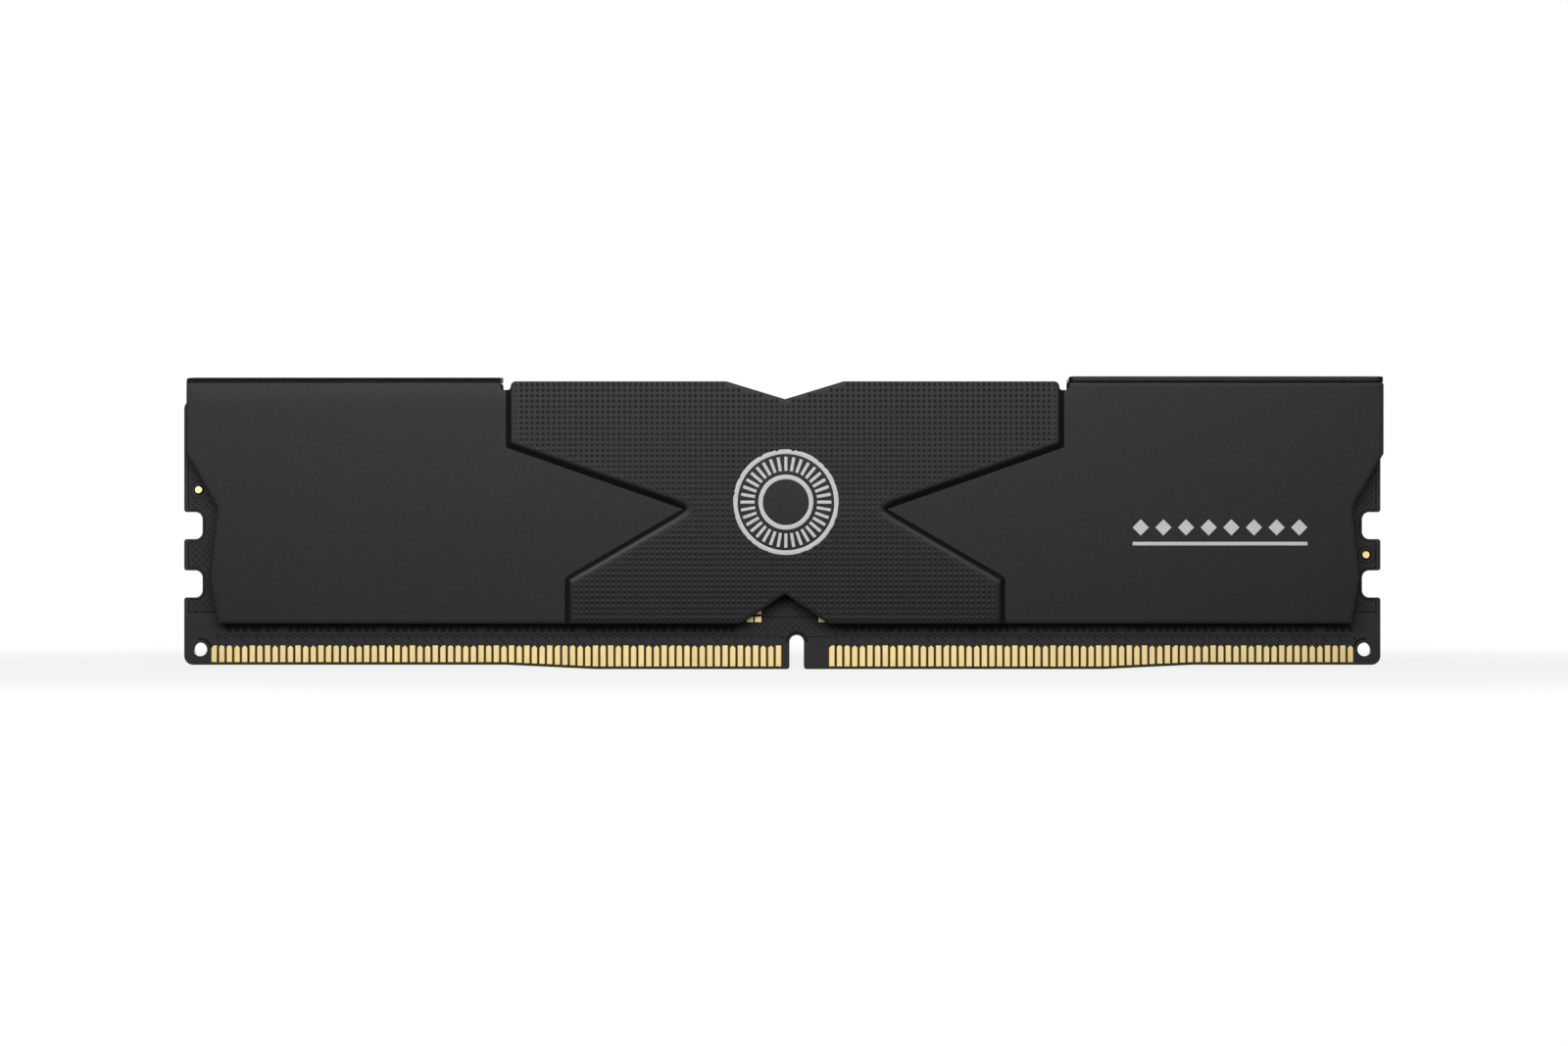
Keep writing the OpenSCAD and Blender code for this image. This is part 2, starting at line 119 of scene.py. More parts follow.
@dataclass
class Shape:
    """A closed surface in millimetres.

    Attributes:
        points: array of shape (n, 3).
        faces: index arrays, each with one row per face.
        normals: normals of the first face corners, where they are known exactly.
        polish: painted highlight at the first points, where there is one: how much the coat's sheen is raised
            there.
    """

    points: Array
    faces: list[Array]
    normals: Array | None = None
    polish: Array | None = None

    def outward(self) -> "Shape":
        """Turns the faces outwards, by the sign of the volume: tetrahedra from the origin to each face's fan.

        Returns:
            The shape.
        """
        fans = [self.points[rows] for rows in self.faces]
        volume = sum((fan[:, :1] * np.cross(fan[:, 1:-1], fan[:, 2:])).sum() for fan in fans)
        return self if volume > 0 else Shape(self.points, [rows[:, ::-1] for rows in self.faces])

    @staticmethod
    def joined(shapes: Iterable["Shape"]) -> "Shape":
        """Puts several shapes into one.

        Args:
            shapes: the shapes, in order.

        Returns:
            One shape that holds all of them.
        """
        points, faces, start = [], [], 0
        for shape in shapes:
            points.append(shape.points)
            faces += [rows + start for rows in shape.faces]
            start += len(shape.points)
        return Shape(np.concatenate(points), faces)

    def repeated(self, places: Array) -> "Shape":
        """Copies this shape.

        Args:
            places: how far each copy moves along the first two axes, of shape (m, 2).

        Returns:
            One shape with m copies.
        """
        copies = np.repeat(self.points[None], len(places), axis=0)
        copies[..., :2] += places[:, None]
        steps = (np.arange(len(places)) * len(self.points))[:, None, None]
        faces = [(rows + steps).reshape(-1, rows.shape[1]) for rows in self.faces]
        return Shape(copies.reshape(-1, 3), faces)

    def mapped(self, place: Callable[[Array], Array]) -> "Shape":
        """The shape with a function applied to its points, and its faces outward again."""
        return Shape(place(self.points), self.faces).outward()


def grid_faces(rows: int, columns: int, rows_close: bool = False, columns_close: bool = False) -> Array:
    """Quads of a grid of points that are numbered row by row.

    Args:
        rows: number of rows.
        columns: number of columns.
        rows_close: whether the last row joins the first.
        columns_close: whether the last column joins the first.

    Returns:
        Array of shape (quads, 4).
    """
    i = np.arange(rows if rows_close else rows - 1)[:, None]
    j = np.arange(columns if columns_close else columns - 1)[None]
    below, right = (i + 1) % rows, (j + 1) % columns
    quads = np.broadcast_arrays(
        i * columns + j, below * columns + j, below * columns + right, i * columns + right)
    return np.stack(quads, axis=-1).reshape(-1, 4)


def arc(start: float, end: float, count: int) -> Array:
    """Points of the unit circle from one angle to another, one row each."""
    angle = np.linspace(start, end, count)
    return np.stack([np.cos(angle), np.sin(angle)], axis=1)


def circle(count: int) -> Array:
    """Points spread evenly on the unit circle."""
    return arc(0, 2 * math.pi, count + 1)[:-1]


def turned(profile: Array, sides: int) -> Shape:
    """Surface of revolution: each profile row (radius, height) becomes a ring about the third axis.

    Args:
        profile: array of shape (k, 2) from the lower pole to the upper one, both of radius 0.
        sides: number of points in each ring.

    Returns:
        The closed shape.
    """
    rings = profile[1:-1, None]
    level = np.broadcast_to(rings[..., 1:], (len(rings), sides, 1))
    points = np.concatenate([rings[..., :1] * circle(sides), level], axis=-1).reshape(-1, 3)
    poles = [(0, 0, profile[0, 1]), (0, 0, profile[-1, 1])]
    here = np.arange(sides)
    after = (here + 1) % sides
    last = (len(rings) - 1) * sides
    caps = np.concatenate([
        np.stack([np.full(sides, len(points)), after, here], axis=1),
        np.stack([np.full(sides, len(points) + 1), last + here, last + after], axis=1),
    ])
    quads = grid_faces(len(rings), sides, columns_close=True)[:, ::-1]
    return Shape(np.concatenate([points, poles]), [quads, caps]).outward()


def plate(radius: float, high: float, sides: int) -> Shape:
    """Thin plate with a regular outline, whose top is at a height over the surface that it lies on."""
    return turned(np.array([(0, -SUNK), (radius, -SUNK), (radius, high), (0, high)]), sides)


def sideways(path: Array, closed: bool) -> Array:
    """Directions to the left of a path, by which a path that is moved keeps its distance.

    With the unit normals a and b of the two sides that meet in a point, its direction is (a + b) / (1 + a b).

    Args:
        path: array of shape (n, 2).
        closed: whether the path joins its own start.

    Returns:
        Array of shape (n, 2).
    """
    ahead = np.roll(path, -1, axis=0) - path
    if not closed:
        ahead[-1] = ahead[-2]
    left = np.stack([-ahead[:, 1], ahead[:, 0]], axis=1) / np.linalg.norm(ahead, axis=1, keepdims=True)
    before = np.roll(left, 1, axis=0)
    if not closed:
        before[0] = left[0]
    return (left + before) / (1 + (left * before).sum(axis=1, keepdims=True))


def ribbon(path: Array, width: float, high: float, closed: bool = False) -> Shape:
    """Low flat-topped ridge: a trapezoid is carried along a path.

    Args:
        path: array of shape (n, 2).
        width: width at the foot of the ridge.
        high: height of its top.
        closed: whether the path joins its own start.

    Returns:
        The closed shape, with its height as third coordinate.
    """
    across = np.array([-1, -RIDGE_TOP, RIDGE_TOP, 1])[:, None] * width / 2
    flat = path[:, None] + across * sideways(path, closed)[:, None]
    level = np.array([-SUNK, high, high, -SUNK])[:, None]
    points = np.concatenate([flat, np.broadcast_to(level, (len(path), 4, 1))], axis=-1)
    faces = [grid_faces(len(path), 4, rows_close=closed, columns_close=True)]
    if not closed:
        end = (len(path) - 1) * 4
        faces.append(np.array([[0, 1, 2, 3], [end + 3, end + 2, end + 1, end]]))
    return Shape(points.reshape(-1, 3), faces).outward()


def rounded_outline(corners: Array, steps: int = 7) -> Array:
    """Closed outline with an arc in each corner that has a radius.

    An arc's middle is on the line that halves the corner, at the radius over the sine of half its angle.

    Args:
        corners: array of shape (n, 3) with x, height and radius of each corner.
        steps: number of points on an arc.

    Returns:
        Array of shape (points, 2).
    """
    spots = []
    for before, here, after in zip(np.roll(corners, 1, axis=0), corners, np.roll(corners, -1, axis=0)):
        spot, radius = here[:2], here[2]
        if radius == 0:
            spots.append(spot[None])
            continue
        u, v = ((other[:2] - spot) / np.linalg.norm(other[:2] - spot) for other in (before, after))
        half = math.acos(float(u @ v)) / 2
        middle = spot + (u + v) / np.linalg.norm(u + v) * radius / math.sin(half)
        first = spot + u * radius / math.tan(half) - middle
        start = math.atan2(first[1], first[0])
        turn = (math.pi - 2 * half) * (-1 if u[0] * v[1] > u[1] * v[0] else 1)
        spots.append(middle + radius * arc(start, start + turn, steps))
    return np.concatenate(spots)


def resampled(loop: Array, step: float, wanted: Callable[[Array], Array], skip: int) -> Array:
    """Closed loop with points every step where they are wanted, and only every few steps elsewhere.

    Args:
        loop: array of shape (n, 2).
        step: longest distance between points where they are wanted.
        wanted: says for an array of points where the fine spacing is needed.
        skip: number of steps between points elsewhere.

    Returns:
        Array of shape (points, 2), which holds every point of the loop.
    """
    side = np.roll(loop, -1, axis=0) - loop
    count = np.maximum(1, np.ceil(np.linalg.norm(side, axis=1) / step).astype(int))
    owner = np.repeat(np.arange(len(loop)), count)
    order = np.arange(len(owner)) - np.repeat(np.cumsum(count) - count, count)
    fine = loop[owner] + side[owner] * (order / count[owner])[:, None]
    return fine[(order % skip == 0) | wanted(fine)]


def segment_distances(points: Array, starts: Array, ends: Array) -> Array:
    """Distance of each point to each segment: to its nearest spot on the line, kept between the ends.

    Args:
        points: array of shape (n, 2).
        starts: first ends of the segments, of shape (m, 2).
        ends: second ends of the segments, of shape (m, 2).

    Returns:
        Array of shape (n, m).
    """
    along = ends - starts
    away = points[:, None] - starts[None]
    share = np.clip((away * along).sum(axis=2) / (along * along).sum(axis=1), 0, 1)
    return np.linalg.norm(away - share[..., None] * along, axis=2)


def is_inside(points: Array, loop: Array) -> Array:
    """Whether points are inside a loop: a ray to the right crosses its sides an odd number of times.

    Args:
        points: array of shape (n, 2).
        loop: array of shape (m, 2).

    Returns:
        Array of n truth values.
    """
    a, b = loop, np.roll(loop, -1, axis=0)
    x, z = points[:, :1], points[:, 1:]
    spans = (a[None, :, 1] > z) != (b[None, :, 1] > z)
    rise = np.where(b[:, 1] == a[:, 1], 1, b[:, 1] - a[:, 1])
    crossing = a[:, 0] + (z - a[:, 1]) * (b[:, 0] - a[:, 0]) / rise
    return (spans & (x < crossing)).sum(axis=1) % 2 == 1


def add_piece(name: str, shape: Shape, material: Material,
              crease: float = 35.0, stands_for: str | None = None) -> None:
    """Puts a shape into the scene as a piece of the object.

    Args:
        name: name of the piece.
        shape: the piece's surface.
        material: its finish.
        crease: angle in degrees above which an edge is shaded as sharp.
        stands_for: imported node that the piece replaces.
    """
    mesh = bpy.data.meshes.new(name)
    mesh.from_pydata((shape.points * MM).tolist(), [], [row for rows in shape.faces for row in rows.tolist()])
    mesh.shade_smooth()
    mesh.set_sharp_from_angle(angle=math.radians(crease))
    if shape.normals is not None:
        missing = len(mesh.loops) - len(shape.normals)
        mesh.normals_split_custom_set(np.pad(shape.normals, ((0, missing), (0, 0))).tolist())
    # Painted highlight: a point attribute by which the coat's sheen grows along the lower crests
    if shape.polish is not None:
        highlight_share = np.pad(shape.polish, (0, len(mesh.vertices) - len(shape.polish)))
        mesh.attributes.new("polish", "FLOAT", "POINT").data.foreach_set("value", highlight_share)
    mesh.materials.append(material)
    piece = bpy.data.objects.new(name, mesh)
    bpy.context.scene.collection.objects.link(piece)
    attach(piece, "root")
    if stands_for:
        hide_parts(stands_for)
    LOG.info("%s: %d points, %d faces", name, len(mesh.vertices), len(mesh.polygons))


# Finishes


def linear(code: str) -> tuple[float, float, float, float]:
    """Turns an sRGB hex colour into the linear colour that shaders take.

    Args:
        code: colour such as "#2a2b2d".

    Returns:
        Linear red, green, blue and 1.
    """
    parts = [int(code[i:i + 2], 16) / 255 for i in (1, 3, 5)]
    red, green, blue = (c / 12.92 if c <= 0.04045 else ((c + 0.055) / 1.055) ** 2.4 for c in parts)
    return red, green, blue, 1.0


def output(source: Any) -> Any:
    """A node's first output; anything else, such as an output or a value, as it is."""
    return source.outputs[0] if isinstance(source, Node) else source


def add_node(tree: Tree, kind: str, inputs: dict[int | str, Any] | None = None, **settings: Any) -> Node:
    """Adds a node with its settings and links.

    Args:
        tree: node tree of the material or world.
        kind: node type without its ShaderNode prefix.
        inputs: value, output to link, or node whose first output to link, by the input's name or number.
        settings: properties of the node.

    Returns:
        The new node.
    """
    node = tree.nodes.new("ShaderNode" + kind)
    for key, value in settings.items():
        setattr(node, key, value)
    for key, source in (inputs or {}).items():
        value = output(source)
        if isinstance(value, bpy.types.NodeSocket):
            tree.links.new(value, node.inputs[key])
        else:
            node.inputs[key].default_value = value
    return node


@dataclass(frozen=True)
class Finish:
    """A surface finish: a name, a colour and the constants of its shader.

    Attributes:
        name: name of the material.
        colour: main colour, as sRGB hex.
        roughness: middle of the roughness.
        specular: specular level of a surface that isn't metal.
        metallic: 1 for bare metal.
        mottle: share by which the colour varies.
        mottle_mm: size of the colour's patches.
        grain_mm: size of the surface's grain.
        grain_depth_mm: height of the surface's grain.
        gloss_range: how far the roughness varies from its middle.
    """

    name: str
    colour: str
    roughness: float = 0.5
    specular: float = 0.5
    metallic: float = 0.0
    mottle: float = 0.08
    mottle_mm: float = 2.0
    grain_mm: float = 0.2
    grain_depth_mm: float = 0.004
    gloss_range: float = 0.06

    def material(self) -> Material:
        """Builds the material: the plain shader, then this finish's own pattern, in millimetres.

        Returns:
            The new material.
        """
        made = bpy.data.materials.new(self.name)
        made.use_nodes = True
        tree = made.node_tree
        shader = tree.nodes["Principled BSDF"]
        shader.inputs["Metallic"].default_value = self.metallic
        if not self.metallic:
            shader.inputs["Specular IOR Level"].default_value = self.specular
        spot = add_node(tree, "TexCoord").outputs["Object"]
        place = add_node(tree, "VectorMath", {0: spot, "Scale": 1 / MM}, operation="SCALE")
        patches = add_node(tree, "TexNoise", {"Vector": place, "Scale": 1 / self.mottle_mm})
        tone = self.varied(tree, patches, linear(self.colour), self.mottle)
        for socket, source in self.pattern(tree, place, tone).items():
            tree.links.new(output(source), shader.inputs[socket])
        return made

    def varied(self, tree: Tree, amount: Node, colour: Any, share: float) -> Node:
        """Colour that is darker or lighter in places.

        Args:
            tree: node tree of the material.
            amount: noise, low where the colour is darker and high where it is lighter.
            colour: the colour, or the output that gives it.
            share: share by which it varies.

        Returns:
            The node that gives the colour.
        """
        limits = {"To Min": 1 - share, "To Max": 1 + share}
        value = add_node(tree, "MapRange", {"Value": amount, **NOISE_SPAN, **limits})
        return add_node(tree, "HueSaturation", {"Color": colour, "Value": value})

    def relief(self, tree: Tree, grain: Node, height: Node, depth_mm: float) -> dict[str, Any]:
        """Gloss that varies with the grain, and relief.

        Args:
            tree: node tree of the material.
            grain: noise that the gloss follows.
            height: height of the relief, from 0 to 1.
            depth_mm: depth of the relief.

        Returns:
            Nodes for the shader's inputs, by input.
        """
        limits = {"To Min": self.roughness - self.gloss_range, "To Max": self.roughness + self.gloss_range}
        gloss = add_node(tree, "MapRange", {"Value": grain, **limits})
        bump = add_node(tree, "Bump", {"Height": height, "Strength": 1.0, "Distance": depth_mm * MM})
        return {"Roughness": gloss, "Normal": bump}

    def pattern(self, tree: Tree, place: Node, tone: Node) -> dict[str, Any]:
        """Fine grain in the surface and its gloss, over the softly mottled colour.

        Args:
            tree: node tree of the material.
            place: place on the object, in millimetres.
            tone: the mottled colour.

        Returns:
            Nodes or outputs for the shader's inputs, by input.
        """
        grain = add_node(tree, "TexNoise", {"Vector": place, "Scale": 1 / self.grain_mm})
        return {"Base Color": tone, **self.relief(tree, grain, grain, self.grain_depth_mm)}


@dataclass(frozen=True)
class SprayedCoat(Finish):
    """Black coat sprayed on stamped aluminium: a dull sheen broken by an even, fine matte grain.

    Attributes:
        octaves: how many finer noises are laid over the grain.
        speckle: share by which the colour varies from grain to grain.
        glitter: share by which the sheen varies from grain to grain.
        highlight_gain: share by which the sheen grows where the mesh marks the painted highlight.
    """

    octaves: float = 3.0
    speckle: float = 0.16
    glitter: float = 0.26
    highlight_gain: float = 0.68

    def pattern(self, tree: Tree, place: Node, tone: Node) -> dict[str, Any]:
        """Fine grain in colour, gloss and sheen, with more sheen as a painted highlight where the mesh marks
        one.

        The grain is drawn about twice as coarse as the real one so that it shows.

        Args:
            tree: node tree of the material.
            place: place on the object, in millimetres.
            tone: the mottled colour.

        Returns:
            Nodes for the shader's inputs, by input.
        """
        add = partial(add_node, tree)
        grain = add("TexNoise", {"Vector": place, "Scale": 1 / self.grain_mm, "Detail": self.octaves})
        limits = {"To Min": self.specular * (1 - self.glitter), "To Max": self.specular * (1 + self.glitter)}
        sheen = add("MapRange", {"Value": grain, **NOISE_SPAN, **limits})
        # Painted highlight: more sheen where the mesh's attribute marks it
        polish = add("Attribute", attribute_name="polish").outputs["Fac"]
        gain = add("Math", {0: polish, 1: self.highlight_gain, 2: 1.0}, operation="MULTIPLY_ADD")
        return {
            "Base Color": self.varied(tree, grain, tone, self.speckle),
            "Specular IOR Level": add("Math", {0: sheen, 1: gain}, operation="MULTIPLY"),
            **self.relief(tree, grain, grain, self.grain_depth_mm),
        }


@dataclass(frozen=True)
class SolderMask(Finish):
    """Black solder mask over copper: hatched pits show through it, and cut edges show the olive laminate.

    Attributes:
        laminate: colour of the cut board.
        laminate_mottle: share by which that colour varies.
        bloom: share by which the mask's colour varies with its grain.
        pit: colour in the pits between the hatched copper lines.
        pit_shade: how much of that colour shows.
        pitch_mm: spacing of the copper lines, along the board.
        pit_edge: distances from a line's middle, in pitches, where the pits start and where they are deep.
        pit_depth_mm: depth of the pits.
        grain_share: height of the grain as a share of that depth.
        hatch_from_mm: height above which the copper is hatched.
        key_x_mm: middle of the key notch.
        key_reach_mm: distance from the key within which the hatch starts lower.
        key_from_mm: height above which it starts there.
        plain_boxes: middle and half size, in x and z, of the places at both ends without hatch.
        plain_rounds: middle, in x and z, and radius of the places without hatch about the fiducials.
        squarely: how squarely a face looks out of the board at least if it is masked.
    """

    laminate: str = "#4b482d"
    laminate_mottle: float = 0.25
    bloom: float = 0.12
    pit: str = "#131314"
    pit_shade: float = 0.55
    pitch_mm: float = 0.76
    pit_edge: Pair = (0.16, 0.28)
    pit_depth_mm: float = 0.03
    grain_share: float = 0.1
    hatch_from_mm: float = 6.36
    key_x_mm: float = 1.6
    key_reach_mm: float = 5.4
    key_from_mm: float = 3.95
    plain_boxes: tuple[tuple[float, float, float, float], ...] = (
        (67.2, 15.0, 1.3, 30.0), (66.0, 9.5, 1.8, 1.9), (66.0, 16.0, 1.8, 1.9))
    plain_rounds: tuple[Triple, ...] = ((-64.98, 19.97, 1.1), (65.13, 12.7, 1.5))
    squarely: float = 0.95

    def hatch(self, tree: Tree, place: Node) -> Node:
        """Diamond pits between two sets of sloping lines, above a level that drops beside the key notch.

        Args:
            tree: node tree of the material.
            place: place on the object, in millimetres.

        Returns:
            Depth of the pits, from 0 to 1.
        """
        add = partial(add_node, tree)
        axes = add("SeparateXYZ", {0: place}).outputs
        from_key = add("Math", {0: axes["X"], 1: self.key_x_mm, 2: self.key_reach_mm}, operation="COMPARE")
        low, high = (add("Math", {0: axes["Z"], 1: level}, operation="GREATER_THAN")
                     for level in (self.key_from_mm, self.hatch_from_mm))
        beside_key = add("Math", {0: from_key, 1: low}, operation="MULTIPLY")
        shares = [add("Math", {0: high, 1: beside_key}, operation="MAXIMUM")]
        start, end = (share * self.pitch_mm for share in self.pit_edge)
        for slope in ("ADD", "SUBTRACT"):
            across = add("Math", {0: axes["X"], 1: axes["Z"]}, operation=slope)
            wave = add("Math", {0: across, 1: self.pitch_mm / 2}, operation="PINGPONG")
            shares.append(add("MapRange", {"Value": wave, "From Min": start, "From Max": end},
                              interpolation_type="SMOOTHSTEP"))
        flat = add("VectorMath", {0: place, 1: (1.0, 0.0, 1.0)}, operation="MULTIPLY")
        both_ends = add("VectorMath", {0: flat}, operation="ABSOLUTE")
        for x, z, half_x, half_z in self.plain_boxes:
            away = add("VectorMath", {0: both_ends, 1: (x, 0.0, z)}, operation="SUBTRACT")
            size = add("VectorMath", {0: away}, operation="ABSOLUTE")
            parts = add("VectorMath", {0: size, 1: (half_x, 1.0, half_z)}, operation="DIVIDE")
            sides = add("SeparateXYZ", {0: parts}).outputs
            most = add("Math", {0: sides["X"], 1: sides["Z"]}, operation="MAXIMUM")
            shares.append(add("Math", {0: most, 1: 1.0}, operation="GREATER_THAN"))
        for x, z, radius in self.plain_rounds:
            away = add("VectorMath", {0: flat, 1: (x, 0.0, z)}, operation="DISTANCE").outputs["Value"]
            shares.append(add("Math", {0: away, 1: radius}, operation="GREATER_THAN"))
        return reduce(lambda a, b: add("Math", {0: a, 1: b}, operation="MULTIPLY"), shares)

    def pattern(self, tree: Tree, place: Node, tone: Node) -> dict[str, Any]:
        """Mask, darker in the hatch's pits, on faces that look out of the board, and laminate on the others.

        Args:
            tree: node tree of the material.
            place: place on the object, in millimetres.
            tone: the mottled colour.

        Returns:
            Nodes or outputs for the shader's inputs, by input.
        """
        add = partial(add_node, tree)
        pits = self.hatch(tree, place)
        grain = add("TexNoise", {"Vector": place, "Scale": 1 / self.grain_mm})
        shade = add("Math", {0: pits, 1: self.pit_shade}, operation="MULTIPLY")
        mask = self.varied(tree, grain, tone, self.bloom)
        masked = add("Mix", {0: shade, MIX_A: mask, MIX_B: linear(self.pit)}, data_type="RGBA")
        facing = add("SeparateXYZ", {0: add("NewGeometry").outputs["True Normal"]}).outputs["Y"]
        straight = add("Math", {0: facing}, operation="ABSOLUTE")
        turned_away = add("Math", {0: straight, 1: self.squarely}, operation="LESS_THAN")
        bare = self.varied(tree, grain, linear(self.laminate), self.laminate_mottle)
        cut = add("Mix", {0: turned_away, MIX_A: masked.outputs[MIX_OUT], MIX_B: bare}, data_type="RGBA")
        level = add("Math", {0: grain, 1: self.grain_share}, operation="MULTIPLY")
        height = add("Math", {0: level, 1: pits}, operation="SUBTRACT")
        return {"Base Color": cut.outputs[MIX_OUT], **self.relief(tree, grain, height, self.pit_depth_mm)}


@dataclass(frozen=True)
class GoldPlate(Finish):
    """Gold plated over nickel and copper: pale polished faces with faint upright wipe marks.

    Attributes:
        edge_shade: colour painted as shade along a contact's long edges, where the plating rolls over them.
        edge_shade_mm: width of that painted shade.
        streak: share by which the colour varies in the wipe marks.
        streak_mm: width of the wipe marks.
        draw_out: their width as a share of their length.
        pitch_mm: spacing of the contacts.
        start_mm: middle of the first contact.
        half_width_mm: half a contact's width.
        top_mm: height of the contacts' upper ends.
    """

    # Painted shade along the contacts' edges: a darker, warmer gold
    edge_shade: str = "#cfa55c"
    edge_shade_mm: float = 0.07
    streak: float = 0.05
    streak_mm: float = 0.09
    draw_out: float = 0.06
    pitch_mm: float = 0.85
    start_mm: float = -63.325
    half_width_mm: float = 0.3
    top_mm: float = 2.66

    def pattern(self, tree: Tree, place: Node, tone: Node) -> dict[str, Any]:
        """Noise drawn out along the contacts, and a darker, warmer tone painted as shade where the plating
        rolls over their edges.

        Args:
            tree: node tree of the material.
            place: place on the object, in millimetres.
            tone: the mottled colour.

        Returns:
            Nodes for the shader's inputs, by input.
        """
        add = partial(add_node, tree)
        drawn = add("VectorMath", {0: place, 1: (1.0, 1.0, self.draw_out)}, operation="MULTIPLY")
        streaks = add("TexNoise", {"Vector": drawn, "Scale": 1 / self.streak_mm})
        axes = add("SeparateXYZ", {0: place}).outputs
        along = add("Math", {0: axes["X"], 1: self.start_mm}, operation="SUBTRACT")
        away = add("Math", {0: along, 1: self.pitch_mm / 2}, operation="PINGPONG")
        # Painted shade in a band along each contact's long edges, below their upper ends
        limits = {"From Min": self.half_width_mm - self.edge_shade_mm, "From Max": self.half_width_mm}
        side = add("MapRange", {"Value": away, **limits}, interpolation_type="SMOOTHSTEP")
        on_contact = add("Math", {0: axes["Z"], 1: self.top_mm}, operation="LESS_THAN")
        rim = add("Math", {0: side, 1: on_contact}, operation="MULTIPLY")
        mixed = add("Mix", {0: rim, MIX_A: tone, MIX_B: linear(self.edge_shade)}, data_type="RGBA")
        colour = self.varied(tree, streaks, mixed.outputs[MIX_OUT], self.streak)
        return {"Base Color": colour, **self.relief(tree, streaks, streaks, self.grain_depth_mm)}


# Sprayed black coat: dull grey sheen in the light, near black in the shade
COAT = SprayedCoat("sprayed_black_coat", "#1a1a1b", roughness=0.43, specular=0.19, mottle=0.05,
                   mottle_mm=9.0, grain_mm=0.14, grain_depth_mm=0.0025)
# Cured solder mask: satin black with a faint grey bloom
MASK = SolderMask("black_solder_mask", "#2b2b2d", roughness=0.42, specular=0.13, mottle_mm=3.0, grain_mm=0.15)
# Mask over a gap in the copper, on tracks and holes: the same black, but sunken, and darker partly in its own
# tone and partly as painted shade in the grooves and pits
SUNKEN_SHADED_MASK = Finish("sunken_solder_mask", "#161617", roughness=0.45, specular=0.03, mottle=0.1,
                     mottle_mm=0.5)
# Clearance round a plated hole: a little darker than the mask about it
CLEARANCE = Finish("thin_solder_mask", "#232325", roughness=0.45, specular=0.07, mottle=0.1, mottle_mm=0.5)
# Electroplated gold: pale and warm
GOLD = GoldPlate("gold_plate", "#e9d393", roughness=0.32, metallic=1.0, mottle=0.04, mottle_mm=6.0,
                 grain_depth_mm=0.001)
# Epoxy moulding compound: matte black with a fine sandy surface
RESIN = Finish("moulded_epoxy_resin", "#242426", roughness=0.6, specular=0.3, grain_mm=0.12)
# Pressed iron powder: dull grey, speckled
FERRITE = Finish("pressed_iron_powder", "#5a5b5e", roughness=0.55, specular=0.4, mottle=0.25, mottle_mm=0.2)
# Fired ceramic: warm tan, smooth
CERAMIC = Finish("fired_ceramic", "#a07f58", roughness=0.35, mottle=0.1, mottle_mm=0.4)
# Glazed resistor film: glossy black
GLAZE = Finish("glazed_resistor_film", "#1f1f22", roughness=0.2, mottle=0.1, mottle_mm=0.3)
# Filled silicone: soft blue-grey, chalky
SILICONE = Finish("filled_silicone", "#8b9298", roughness=0.8, specular=0.3, mottle=0.12, mottle_mm=0.6)
# Screen-printed silver ink: pale grey with a fine metallic speckle
SILVER = Finish("printed_silver_ink", "#d0d1d3", specular=0.3, mottle=0.14, mottle_mm=0.16, grain_mm=0.1)


# Spreader halves


